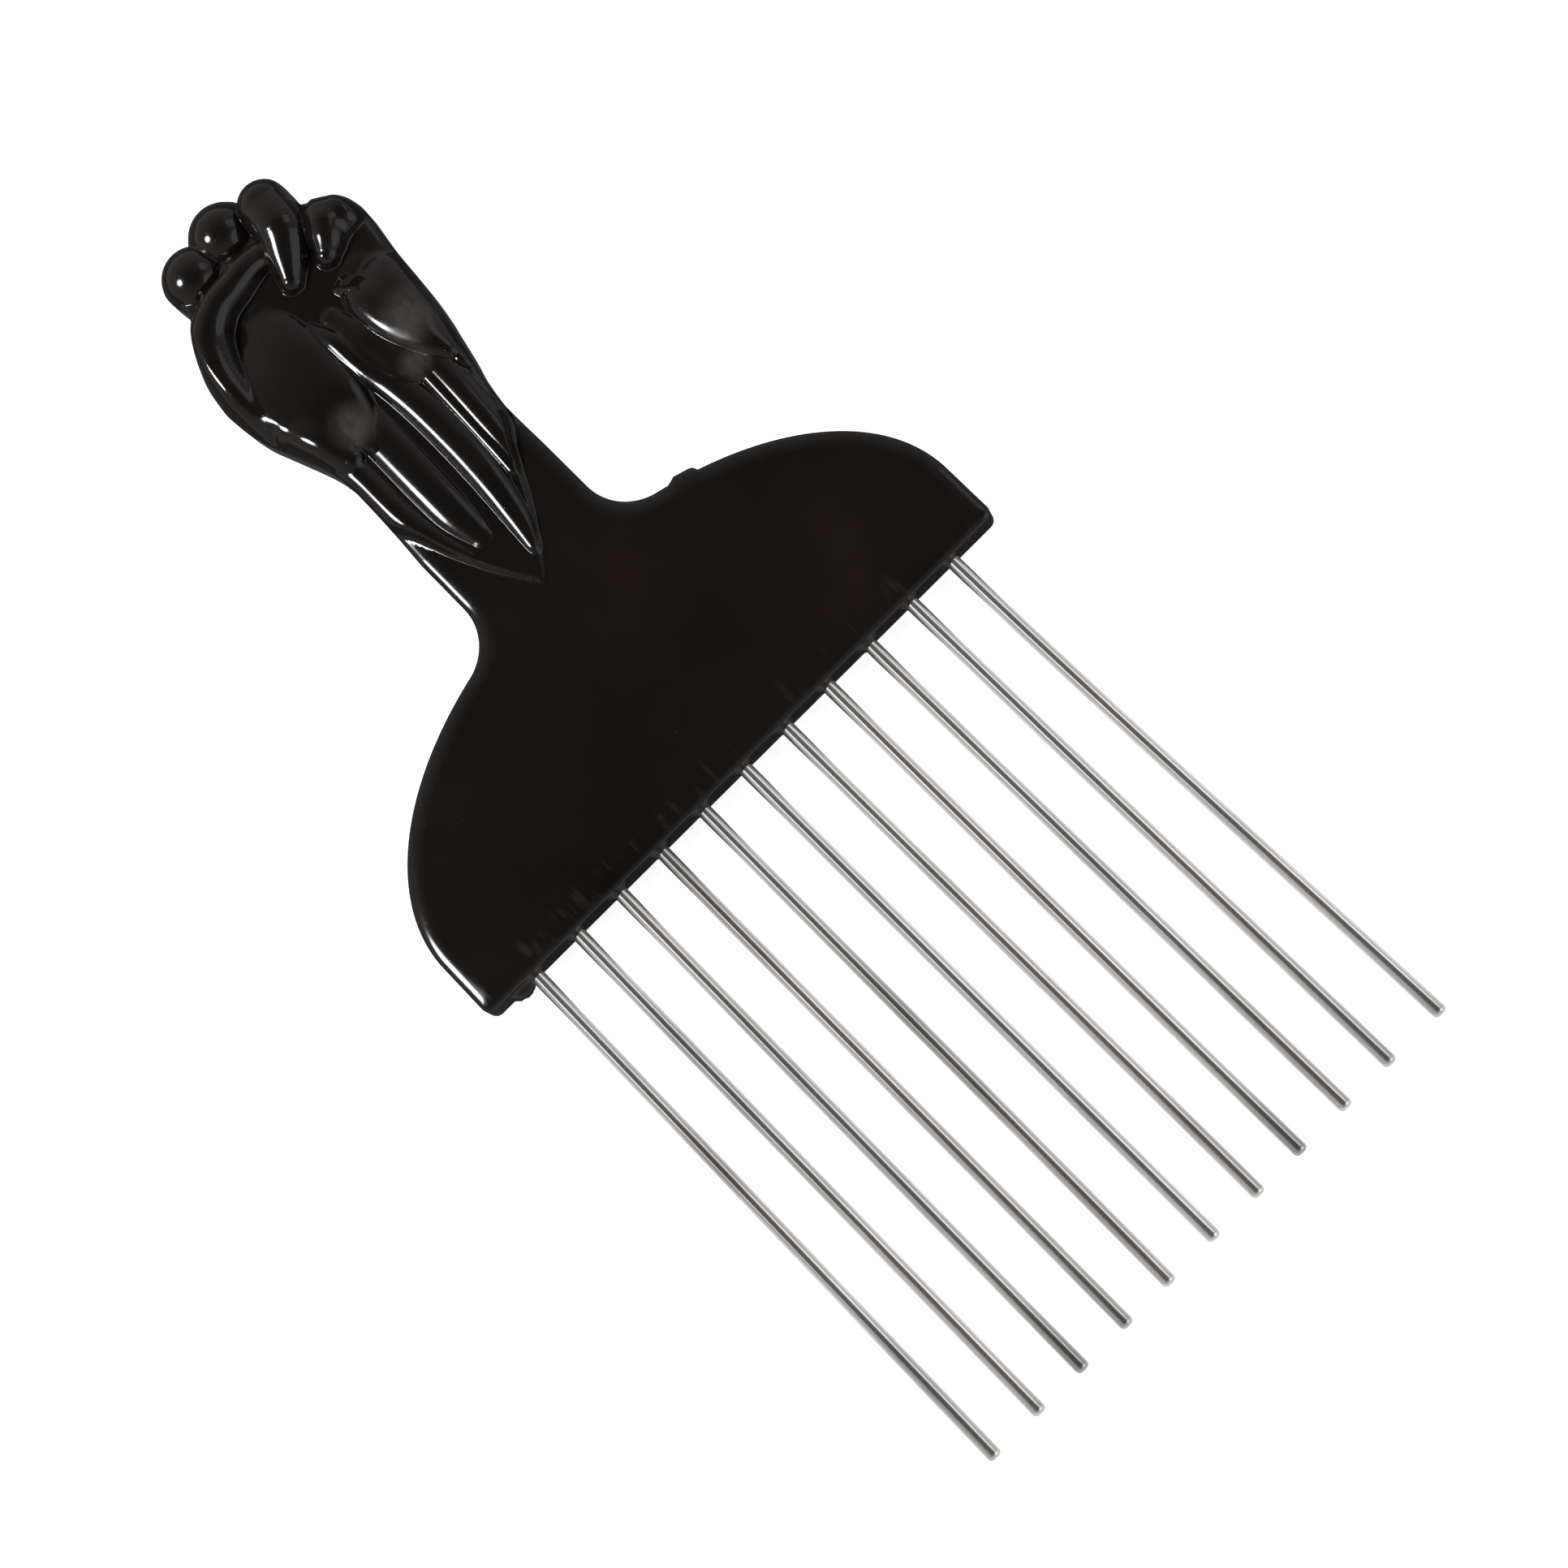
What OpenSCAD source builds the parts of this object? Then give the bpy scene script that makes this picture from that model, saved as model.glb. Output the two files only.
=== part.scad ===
// Afro pick: one moulded plastic handle, a half-moon head with a neck, a forearm and a
// raised fist in relief, and eleven round steel tines set in blind sockets along its edge.
// It lies on its flat back: X runs across the head, Y from the tips to the knuckles, Z up.

/* [Size] */

// From the tine tips to the top knuckle, mm
overall_length = 177.8; // [150:0.1:230]
// How far the tines stand out of the head, mm
tine_reach = 78; // [40:1:85]

/* [Head] */

// Width of the half-moon head, mm
head_width = 83.6; // [72:0.2:120]
// Height of the straight sides above the lower edge, mm
side_height = 8; // [4:0.5:10]
// Rise of the curved shoulders above the straight sides, mm
dome_rise = 25.3; // [20:0.1:28]
// Thickness of the head and neck, mm
plate_thickness = 5; // [3.4:0.1:8]
// Width of the soft rim along the plate's front edge, mm
rim_width = 2.4; // [0.8:0.1:2.6]
// How far that rim falls to the edge, mm
rim_rounding = 0.8; // [0.3:0.1:1.2]
// Rounding of the two lower corners, seen from the front, mm
corner_rounding = 1.6; // [1.3:0.1:3]

/* [Neck and forearm] */

// Width of the neck, mm
neck_width = 20.9; // [17:0.1:26]
// Radius where the shoulders sweep up into the neck, mm
neck_fillet = 7; // [5:0.5:9]
// Height of the forearm's point above the head's lower edge, mm
relief_start = 32.6; // [31.6:0.2:36]
// Width of the sloping step that edges the forearm on the neck, mm
relief_step = 1; // [0.4:0.1:2]

/* [Fist] */

// Width of the hand at its widest, mm
hand_width = 29.7; // [25:0.1:36]
// Height of the highest finger above the flat back, mm
fist_depth = 11; // [9:0.1:16]
// Width of the rounding along the hand's front edge, mm
hand_rounding = 2.8; // [1.2:0.1:3.4]
// Rounding of the hand's edge at the back, mm
back_rounding = 2; // [0.8:0.1:2.6]
// How softly the fingers and knuckles melt into each other, mm
finger_blend = 0.3; // [0.1:0.05:1]
// How softly the pads of the palm melt into each other, mm
palm_blend = 0.5; // [0.1:0.05:1.5]

/* [Tines] */

// Number of tines
tine_count = 11; // [5:1:11]
// Distance from each end of the head to the axis of the nearest tine, mm
end_margin = 7.3; // [4:0.1:10]
// Diameter of the wire, mm
tine_diameter = 1.8; // [1:0.1:2.6]
// Rounding of the edge of each tip, mm
tip_rounding = 0.6; // [0.2:0.05:0.8]
// Depth of each blind socket in the head, mm
socket_depth = 14; // [6:0.5:20]

/* [Hidden] */

function tine_name(i) = str("tine_", i < 10 ? "0" : "", i);

plastic = [0.03, 0.03, 0.035];
steel = [0.78, 0.79, 0.8];

// Heights along Y are measured from the head's lower edge, then moved so that the pick
// is centred on the origin.
handle_length = overall_length - tine_reach;
head_edge_y = tine_reach - overall_length / 2;
tine_pitch = (head_width - 2 * end_margin) / (tine_count - 1);
overrun = tine_diameter;

// Places on the arm and hand run from 0 at the forearm's point to 1 at the top knuckle.
arm_length = handle_length - relief_start;
relief_depth = fist_depth - plate_thickness;
overhang = (hand_width - neck_width) / 2;

// Steps from a rim inward, as shares of the rim's rounding.
front_rim_shares = [0, 0.08, 0.3, 0.62, 1];
back_rim_shares = [0, 0.15, 0.5, 1];
// Rounding of the corners at the inner side of the rim, as a share of the outer one.
inner_corner_share = 0.25;

// Places where the forms begin and end.
cuff_top_share = 0.38;
wrist_share = 0.41;
tendon_top_share = 0.7;
palm_start_share = 0.3;
palm_top_share = 0.95;
finger_start_share = 0.65;
// Where the row of knuckles begins on both sides, and where the back's middle fan begins.
hand_top_share = 0.91;
fan_start_share = 0.77;

// How steeply a form falls away past its half width, how far the rows of the hand crowd
// towards the knuckles, and how late they start to bend round them.
flank_steepness = 4;
row_crowding = 1.35;
bend_lateness = 8;

// Numbers of rows and columns of the surface.
corner_steps = 4;
shoulder_steps = 22;
fillet_steps = 5;
arm_rows = 25;
hand_rows = 42;
inner_columns = 28;
spline_steps = 4;

// Sides of the hand: [place along the arm, how far it stands out past the neck as a share
// of half the difference in width].
left_side_shares = [
    [0.2, 0], [0.29, -0.09], [0.35, -0.12], [0.39, -0.12], [0.425, -0.06], [0.45, 0.03],
    [0.48, 0.19], [0.51, 0.36], [0.54, 0.53], [0.57, 0.7], [0.6, 0.81], [0.63, 0.88],
    [0.66, 0.93], [0.69, 0.89], [0.725, 0.79], [0.755, 0.62], [0.785, 0.4], [0.815, 0.12],
    [0.83, -0.03], [0.845, -0.17], [0.86, -0.24], [0.875, -0.22], [0.89, -0.17],
    [0.91, -0.14]
];
right_side_shares = [
    [0.2, 0], [0.29, -0.02], [0.33, 0.01], [0.38, 0.13], [0.42, 0.3], [0.47, 0.48],
    [0.51, 0.62], [0.56, 0.74], [0.62, 0.83], [0.68, 0.91], [0.72, 1], [0.76, 1.09],
    [0.785, 1.05], [0.8, 0.98], [0.815, 0.84], [0.83, 0.58], [0.845, 0.16], [0.857, -0.06],
    [0.87, -0.07], [0.885, -0.05], [0.91, -0.04]
];

// Edges of the forearm on the neck: [place along the arm, share of the neck's width].
left_cuff_shares = [
    [0, -0.06], [0.01, -0.09], [0.06, -0.19], [0.1, -0.26], [0.15, -0.33], [0.19, -0.38],
    [0.24, -0.43], [0.27, -0.48], [0.3, -0.53], [0.41, -0.65]
];
right_cuff_shares = [
    [0, -0.06], [0.045, 0.05], [0.09, 0.145], [0.14, 0.24], [0.185, 0.31], [0.23, 0.38],
    [0.27, 0.455], [0.29, 0.49], [0.33, 0.55], [0.41, 0.67]
];

// Ground under the forms: [place along the arm, share of the relief's depth].
ground_shares = [
    [0, 0.04], [0.1, 0.08], [0.2, 0.13], [0.33, 0.18], [0.44, 0.22], [0.56, 0.3],
    [0.7, 0.34], [0.82, 0.38], [0.885, 0.26], [0.93, 0.1], [1.02, 0]
];
// Height at which the side walls turn over: the same two shares.
wall_shares = [
    [0, 0], [0.23, 0], [0.27, 0.06], [0.31, 0.18], [0.44, 0.24], [0.56, 0.26], [0.7, 0.3],
    [0.8, 0.34], [0.86, 0.3], [0.91, 0.14], [1.02, 0.08]
];
// Width of the rounding of the hand's front edge: [place along the arm, share of the width
// at its widest].
edge_shares = [[0.44, 0.85], [0.53, 1], [0.65, 1], [0.77, 0.6], [0.86, 0.45], [1.02, 0.45]];
// Rounding of the back edge: from the plate's rim at 0 to the hand's at 1.
back_edge_shares = [[0, 0], [0.3, 0], [0.42, 0.4], [0.55, 1], [1.02, 1]];

// Forms of the relief. Each is a soft ridge that follows a line of points:
// [x, place along the arm, half width, height, drop of its flanks]. Heights and drops are
// shares of the relief's depth, x and half width shares of the neck's or hand's width.
tendon_1_shares = [
    [-0.42, 0.5, 0.12, 0.34, 0.2], [-0.415, 0.38, 0.12, 0.31, 0.2],
    [-0.405, 0.29, 0.11, 0.28, 0.17], [-0.35, 0.21, 0.08, 0.2, 0.12],
    [-0.27, 0.14, 0.05, 0.13, 0.08]
];
tendon_2_shares = [
    [-0.14, 0.5, 0.14, 0.37, 0.28], [-0.145, 0.38, 0.14, 0.35, 0.28],
    [-0.15, 0.28, 0.135, 0.32, 0.27], [-0.15, 0.215, 0.12, 0.27, 0.22],
    [-0.135, 0.15, 0.08, 0.16, 0.12]
];
tendon_3_shares = [
    [0.025, 0.655, 0.055, 0.52, 0.2], [0.05, 0.6, 0.08, 0.52, 0.23],
    [0.075, 0.54, 0.09, 0.45, 0.23], [0.12, 0.48, 0.105, 0.39, 0.23],
    [0.15, 0.4, 0.115, 0.37, 0.23], [0.15, 0.29, 0.115, 0.34, 0.23],
    [0.125, 0.2, 0.1, 0.3, 0.2], [0.09, 0.13, 0.08, 0.23, 0.16],
    [0.05, 0.07, 0.05, 0.15, 0.1]
];
tendon_4_shares = [
    [0.315, 0.46, 0.06, 0.36, 0.13], [0.3, 0.35, 0.055, 0.31, 0.12],
    [0.285, 0.25, 0.05, 0.26, 0.1], [0.27, 0.2, 0.04, 0.2, 0.08]
];
tendon_5_shares = [
    [0.385, 0.5, 0.1, 0.4, 0.24], [0.38, 0.38, 0.1, 0.36, 0.24],
    [0.36, 0.28, 0.09, 0.31, 0.2], [0.33, 0.21, 0.06, 0.23, 0.13]
];
palm_shares = [
    [-0.14, 0.76, 0.1, 0.38, 0.2], [-0.15, 0.71, 0.145, 0.5, 0.2],
    [-0.155, 0.65, 0.155, 0.58, 0.2], [-0.155, 0.58, 0.155, 0.61, 0.2],
    [-0.155, 0.52, 0.15, 0.6, 0.2], [-0.15, 0.47, 0.115, 0.52, 0.18],
    [-0.15, 0.435, 0.06, 0.42, 0.1], [-0.15, 0.41, 0.015, 0.34, 0.03]
];
palm_side_shares = [
    [-0.27, 0.74, 0.09, 0.36, 0.13], [-0.285, 0.68, 0.115, 0.48, 0.13],
    [-0.285, 0.62, 0.12, 0.55, 0.13], [-0.27, 0.56, 0.115, 0.57, 0.13],
    [-0.24, 0.51, 0.1, 0.54, 0.13], [-0.21, 0.47, 0.07, 0.46, 0.13]
];
palm_fold_shares = [
    [0.1, 0.65, 0.04, 0.39, 0.08], [0.125, 0.59, 0.06, 0.45, 0.09],
    [0.155, 0.54, 0.075, 0.45, 0.09], [0.18, 0.49, 0.08, 0.44, 0.1],
    [0.21, 0.46, 0.06, 0.4, 0.1], [0.243, 0.44, 0.015, 0.34, 0.04]
];
heel_shares = [
    [0.32, 0.68, 0.1, 0.36, 0.2], [0.35, 0.635, 0.13, 0.55, 0.2],
    [0.37, 0.59, 0.13, 0.62, 0.2], [0.385, 0.54, 0.12, 0.61, 0.2],
    [0.39, 0.5, 0.1, 0.55, 0.2], [0.395, 0.46, 0.07, 0.45, 0.15],
    [0.39, 0.42, 0.05, 0.37, 0.1]
];
heel_ridge_shares = [
    [0.24, 0.67, 0.06, 0.43, 0.22], [0.255, 0.63, 0.083, 0.6, 0.22],
    [0.27, 0.575, 0.088, 0.64, 0.22], [0.295, 0.53, 0.085, 0.63, 0.22],
    [0.33, 0.485, 0.075, 0.58, 0.22], [0.36, 0.45, 0.055, 0.47, 0.17]
];
thumb_base_shares = [
    [-0.34, 0.55, 0.09, 0.5, 0.32], [-0.31, 0.52, 0.108, 0.6, 0.34],
    [-0.275, 0.485, 0.11, 0.61, 0.34], [-0.265, 0.455, 0.08, 0.5, 0.27]
];
thumb_shares = [
    [-0.4, 0.59, 0.08, 0.46, 0.35], [-0.408, 0.635, 0.09, 0.6, 0.45],
    [-0.405, 0.68, 0.097, 0.74, 0.5], [-0.378, 0.735, 0.1, 0.84, 0.5],
    [-0.315, 0.783, 0.094, 0.91, 0.48], [-0.21, 0.813, 0.082, 0.92, 0.42],
    [-0.1, 0.822, 0.074, 0.88, 0.37], [0, 0.83, 0.068, 0.82, 0.33],
    [0.07, 0.83, 0.064, 0.73, 0.3]
];
middle_finger_shares = [
    [0.23, 0.902, 0.117, 0.88, 0.58], [0.213, 0.84, 0.108, 1, 0.5],
    [0.15, 0.793, 0.09, 0.84, 0.42], [0.085, 0.748, 0.068, 0.66, 0.33]
];
index_knuckle_shares = [
    [0.37, 0.786, 0.13, 0.82, 0.52], [0.43, 0.782, 0.105, 0.76, 0.48]
];
index_finger_shares = [
    [0.355, 0.782, 0.085, 0.86, 0.4], [0.315, 0.758, 0.08, 0.83, 0.4],
    [0.265, 0.735, 0.066, 0.7, 0.33]
];
// The two knuckles are balls, and the second one touches the top of the handle.
first_knuckle_shares = [-0.188, 0.91, 0.143, 0.65, 0.64];
top_knuckle_shares = [0.02, 1, 0.155, 0.68, 0.8];
// The point from which the row of knuckles is swept out.
sweep_centre_shares = [0.03, 0.825];

// Helpers for curves and blends.

function mix(a, b, t) = a + (b - a) * t;

function unit(v) = v / norm(v);

function clamp(t) = min(max(t, 0), 1);

function ease(t) = let (u = clamp(t)) u * u * (3 - 2 * u);

function quarter_round(t) = sqrt(1 - (1 - t) * (1 - t));

function spline_point(points, i, t) =
    let (
        last = len(points) - 1,
        a = points[max(i - 1, 0)],
        b = points[i],
        c = points[min(i + 1, last)],
        d = points[min(i + 2, last)]
    )
    (2 * b + (c - a) * t + (2 * a - 5 * b + 4 * c - d) * t * t
        + (3 * b - a - 3 * c + d) * t * t * t) / 2;

function refined(points) = concat(
    [for (i = [0:len(points) - 2], k = [0:spline_steps - 1])
        spline_point(points, i, k / spline_steps)],
    [points[len(points) - 1]]
);

function soft_max(a, b, blend) =
    let (h = max(blend - abs(a - b), 0) / blend) max(a, b) + h * h * blend / 4;

// Outline of the head, symmetrical about the Y axis.

head_half = head_width / 2;
neck_half = neck_width / 2;

function dome_point(angle) = [
    head_half * cos(angle),
    side_height + dome_rise * sin(angle)
];

function dome_normal(angle) = unit([cos(angle) / head_half, sin(angle) / dome_rise]);

// The fillet's centre lies one radius off the dome and one radius off the neck: this
// halves the angle at which the two meet until it is exact.
function meeting_angle(low = 30, high = 89, turns = 30) =
    let (
        angle = (low + high) / 2,
        reach = dome_point(angle).x + neck_fillet * dome_normal(angle).x
    )
    turns == 0 ? angle
        : reach > neck_half + neck_fillet ? meeting_angle(angle, high, turns - 1)
        : meeting_angle(low, angle, turns - 1);

fillet_angle = meeting_angle();
fillet_centre = dome_point(fillet_angle) + neck_fillet * dome_normal(fillet_angle);
fillet_normal = dome_normal(fillet_angle);
fillet_turn = atan2(fillet_normal.y, fillet_normal.x);
// The turn at which the fillet reaches the forearm's point.
relief_turn = asin(clamp((fillet_centre.y - relief_start) / neck_fillet));

head_outline = concat(
    [for (k = [0:corner_steps])
        let (turn = 90 * k / corner_steps)
        [head_half - corner_rounding * (1 - sin(turn)), corner_rounding * (1 - cos(turn))]],
    [for (k = [0:shoulder_steps]) dome_point(fillet_angle * k / shoulder_steps)],
    [for (k = [1:fillet_steps])
        let (turn = mix(fillet_turn, relief_turn, k / (fillet_steps + 1)))
        fillet_centre - neck_fillet * [cos(turn), sin(turn)]]
);

// Sides of the neck, arm and hand.

function arm_y(share) = relief_start + arm_length * share;

function side_table(shares) = concat(
    [[fillet_centre.y, neck_half]],
    [for (s = refined(shares)) [arm_y(s[0]), neck_half + overhang * s[1]]]
);

left_side = side_table(left_side_shares);
right_side = side_table(right_side_shares);

function neck_side(y) =
    fillet_centre.x - sqrt(max(neck_fillet ^ 2 - (fillet_centre.y - y) ^ 2, 0));

function left_x(y) = y < fillet_centre.y ? -neck_side(y) : -lookup(y, left_side);

function right_x(y) = y < fillet_centre.y ? neck_side(y) : lookup(y, right_side);

// Values that change along the arm.

function arm_table(shares, start, depth) =
    [for (s = refined(shares)) [arm_y(s[0]), start + depth * s[1]]];

wall_start = plate_thickness - rim_rounding;
ground_table = arm_table(ground_shares, plate_thickness, relief_depth);
wall_table = arm_table(wall_shares, wall_start, relief_depth);
edge_table = concat(
    [[relief_start, rim_width], [arm_y(cuff_top_share), rim_width]],
    arm_table(edge_shares, 0, hand_rounding)
);
back_table = arm_table(back_edge_shares, rim_rounding, back_rounding - rim_rounding);
left_cuff = arm_table(left_cuff_shares, 0, neck_width);
right_cuff = arm_table(right_cuff_shares, 0, neck_width);

// Height of the relief's forms above the flat back.

function form(shares, width) =
    [for (s = len(shares) > 1 ? refined(shares) : shares)
        [s[0] * width, arm_y(s[1]), s[2] * width,
            plate_thickness + relief_depth * s[3], relief_depth * s[4]]];

tendons = [
    form(tendon_1_shares, neck_width),
    form(tendon_2_shares, neck_width),
    form(tendon_3_shares, neck_width),
    form(tendon_4_shares, neck_width),
    form(tendon_5_shares, neck_width)
];
palms = [
    form(palm_shares, hand_width),
    form(palm_side_shares, hand_width),
    form(palm_fold_shares, hand_width),
    form(heel_shares, hand_width),
    form(heel_ridge_shares, hand_width),
    form(thumb_base_shares, hand_width),
    form(thumb_shares, hand_width)
];
middle_finger = form(middle_finger_shares, hand_width);
index_knuckle = form(index_knuckle_shares, hand_width);
index_finger = form(index_finger_shares, hand_width);
first_knuckle = form([first_knuckle_shares], hand_width);
top_ball = form([top_knuckle_shares], hand_width)[0];
top_knuckle = [[top_ball[0], top_ball[1] - top_ball[2], top_ball[2], top_ball[3], top_ball[4]]];
fingers = [first_knuckle, top_knuckle, middle_finger, index_knuckle, index_finger];

// Nearest place on the line between two points of a form: [distance, share of the way].
function foot(p, a, b) =
    let (
        along = [b[0] - a[0], b[1] - a[1]],
        off = [p.x - a[0], p.y - a[1]],
        share = clamp(off * along / (along * along))
    )
    [norm(off - share * along), share];

function nearest_point(p, path) =
    let (
        feet = [for (i = [0:len(path) - 2]) foot(p, path[i], path[i + 1])],
        gaps = [for (f = feet) f[0]],
        i = search(min(gaps), gaps)[0]
    )
    mix(path[i], path[i + 1], feet[i][1]);

function form_height(p, path) =
    let (
        at = len(path) == 1 ? path[0] : nearest_point(p, path),
        reach = norm([p.x - at[0], p.y - at[1]]) / at[2]
    )
    at[3] - at[4] * (reach < 1 ? 1 - sqrt(1 - reach * reach) : 1 + flank_steepness * (reach - 1));

function highest(p, paths, blend, i = 0, height) =
    i == len(paths) ? height
        : highest(p, paths, blend, i + 1, soft_max(height, form_height(p, paths[i]), blend));

function cuff_share(p) =
    ease((p.x - lookup(p.y, left_cuff)) / relief_step)
        * ease((lookup(p.y, right_cuff) - p.x) / relief_step);

function relief_height(p) =
    let (
        ground = lookup(p.y, ground_table),
        arm = p.y > arm_y(tendon_top_share) ? ground : highest(p, tendons, finger_blend, 0, ground),
        cuff = p.y > arm_y(cuff_top_share) ? 1 : cuff_share(p),
        lower = plate_thickness + (arm - plate_thickness) * cuff
    )
    p.y < arm_y(palm_start_share) ? lower : hand_height(p, lower);

function hand_height(p, lower) =
    let (
        palm = p.y > arm_y(palm_top_share) ? lower
            : highest(p, palms, palm_blend, 0, lower)
    )
    p.y < arm_y(finger_start_share) ? palm
        : highest(p, fingers, finger_blend, 0, palm);

// Row of knuckles along the top, swept out from one point between the two sides.

sweep_centre = [sweep_centre_shares[0] * hand_width, arm_y(sweep_centre_shares[1])];
hand_top_y = arm_y(hand_top_share);
left_start = [left_x(hand_top_y), hand_top_y];
right_start = [right_x(hand_top_y), hand_top_y];
knuckles = [first_knuckle[0], top_knuckle[0], middle_finger[0]];

function ray_reach(direction, ball) =
    let (
        offset = [ball[0], ball[1]] - sweep_centre,
        along = offset * direction,
        inside = ball[2] ^ 2 - (offset * offset - along ^ 2)
    )
    inside < 0 ? 0 : along + sqrt(inside);

function sweep_angle(p) = atan2(p.y - sweep_centre.y, p.x - sweep_centre.x);

function knuckle_point(share) =
    let (
        angle = mix(sweep_angle(left_start), sweep_angle(right_start), share),
        direction = [cos(angle), sin(angle)]
    )
    share == 0 ? left_start
        : share == 1 ? right_start
        : sweep_centre + direction * max([for (ball = knuckles) ray_reach(direction, ball)]);

// Rows of the surface above the head. The first run straight across the arm, and the rest
// bend up step by step until the last follows the knuckles.

wrist_y = arm_y(wrist_share);

function crowded(t) = 1 - (1 - t) ^ row_crowding;

hand_bends = [for (k = [1:hand_rows]) crowded(k / hand_rows)];
bends = concat([for (k = [0:arm_rows]) 0], hand_bends);
row_ends = concat(
    [for (k = [0:arm_rows]) mix(relief_start, wrist_y, k / arm_rows)],
    [for (bend = hand_bends) mix(wrist_y, hand_top_y, bend)]
);
left_ends = [for (y = row_ends) [left_x(y), y]];
right_ends = [for (y = row_ends) [right_x(y), y]];

last_row = len(row_ends) - 1;
rim_count = len(front_rim_shares);
columns = 2 * rim_count + inner_columns;

function column_shares(i) =
    let (rim = lookup(row_ends[i], edge_table) / (right_ends[i].x - left_ends[i].x))
    concat(
        [for (s = front_rim_shares) s * rim],
        [for (k = [1:inner_columns]) mix(rim, 1 - rim, k / (inner_columns + 1))],
        [for (k = [1:rim_count]) 1 - front_rim_shares[rim_count - k] * rim]
    );

// 1 away from the sides, falling to 0 at the outline.
function edge_lift(j) = quarter_round(front_rim_shares[min(j, columns - 1 - j, rim_count - 1)]);

function surface_place(i, share) =
    mix(left_ends[i], right_ends[i], share)
        + (bends[i] == 0 ? [0, 0]
            : bends[i] ^ bend_lateness
                * (knuckle_point(share) - mix(left_start, right_start, share)));

function surface_point(i, j, share) =
    let (
        place = surface_place(i, share),
        wall = lookup(place.y, wall_table),
        height = i == 0 ? plate_thickness : relief_height(place),
        lift = i == last_row ? 0 : edge_lift(j)
    )
    [place.x, place.y, wall + (height - wall) * lift];

relief_points = [
    for (i = [0:last_row])
        let (shares = column_shares(i))
        for (j = [0:columns - 1]) surface_point(i, j, shares[j])
];

// The outline as one loop, from the head's lower left corner round over the knuckles.

head_rows = len(head_outline);
knuckle_row = columns * last_row;

function mirrored(p) = [-p.x, p.y];

function flat(p) = [p.x, p.y];

function backwards(list) = [for (i = [1:len(list)]) list[len(list) - i]];

outline = concat(
    [for (p = head_outline) mirrored(p)],
    left_ends,
    [for (j = [1:columns - 2]) flat(relief_points[knuckle_row + j])],
    backwards(right_ends),
    backwards(head_outline)
);
loop = len(outline);

function inward(m) =
    let (along = outline[(m + 1) % loop] - outline[(m + loop - 1) % loop])
    unit([along.y, -along.x]);

function rim_place(m, inset) = outline[m] + inward(m) * inset;

// The rim is wider than the corners are round, so its inner side has corners of its own.
inner_corner = corner_rounding * inner_corner_share;

function inner_corner_point(k) =
    let (turn = 90 * k / corner_steps)
    [
        head_half - rim_width - inner_corner * (1 - sin(turn)),
        rim_width + inner_corner * (1 - cos(turn))
    ];

function rim_inner(m) =
    m <= corner_steps ? mirrored(inner_corner_point(m))
        : m >= loop - 1 - corner_steps ? inner_corner_point(loop - 1 - m)
        : rim_place(m, rim_width);

function front_rim_point(m, share) =
    let (place = mix(outline[m], rim_inner(m), share))
    [place.x, place.y, wall_start + rim_rounding * quarter_round(share)];

function back_rim_point(m, share) =
    let (
        rounding = lookup(outline[m].y, back_table),
        place = rim_place(m, rounding * share)
    )
    [place.x, place.y, rounding * (1 - quarter_round(share))];

// Points of the whole shell: the head's rims, the relief, the back's rim and its middle.

head_columns = 2 * rim_count;
back_count = len(back_rim_shares);

shell_points = concat(
    [for (i = [0:head_rows - 1]) each concat(
        [for (s = front_rim_shares) front_rim_point(i, s)],
        [for (s = backwards(front_rim_shares)) front_rim_point(loop - 1 - i, s)]
    )],
    relief_points,
    [for (m = [0:loop - 1], s = back_rim_shares) back_rim_point(m, s)],
    [[sweep_centre.x, sweep_centre.y, 0]]
);

relief_first = head_rows * head_columns;
back_first = relief_first + len(relief_points);

function head_at(i, j) = i * head_columns + j;

function relief_at(i, j) = relief_first + i * columns + j;

function back_at(m, k) = back_first + (m % loop) * back_count + k;

// Where the loop's points lie on the front.
function outline_at(m) =
    let (
        left = m - head_rows,
        top = left - last_row,
        right = top - (columns - 1),
        down = right - last_row - 1
    )
    m >= loop ? outline_at(m - loop)
        : left < 0 ? head_at(m, 0)
        : top <= 0 ? relief_at(left, 0)
        : right < 0 ? relief_at(last_row, top)
        : down < 0 ? relief_at(last_row - right, columns - 1)
        : head_at(head_rows - 1 - down, head_columns - 1);

// A patch with its corners lower left, upper left, upper right and lower right.
function patch(a, b, c, d) = [[a, b, c], [a, c, d]];

head_inner = rim_count - 1;
middle_column = floor(columns / 2);
fan_row = head_rows + len([for (y = row_ends) if (y < arm_y(fan_start_share)) y]);

head_faces = [
    for (i = [0:head_rows - 2], j = [0:head_columns - 2])
        each patch(head_at(i, j), head_at(i + 1, j), head_at(i + 1, j + 1), head_at(i, j + 1))
];

// The head's last row has only its two rims, so the relief's first row is joined to it by
// its rims and a fan from each side.
join_faces = let (i = head_rows - 1, last = columns - rim_count) concat(
    [for (j = [0:head_inner - 1]) each concat(
        patch(head_at(i, j), relief_at(0, j), relief_at(0, j + 1), head_at(i, j + 1)),
        patch(head_at(i, rim_count + j), relief_at(0, last + j),
            relief_at(0, last + j + 1), head_at(i, rim_count + j + 1))
    )],
    [for (j = [head_inner:middle_column - 1])
        [head_at(i, head_inner), relief_at(0, j), relief_at(0, j + 1)]],
    [for (j = [middle_column:last - 1])
        [head_at(i, rim_count), relief_at(0, j), relief_at(0, j + 1)]],
    [[head_at(i, head_inner), relief_at(0, middle_column), head_at(i, rim_count)]]
);

relief_faces = [
    for (i = [0:last_row - 1], j = [0:columns - 2])
        each patch(relief_at(i, j), relief_at(i + 1, j),
            relief_at(i + 1, j + 1), relief_at(i, j + 1))
];

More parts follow.
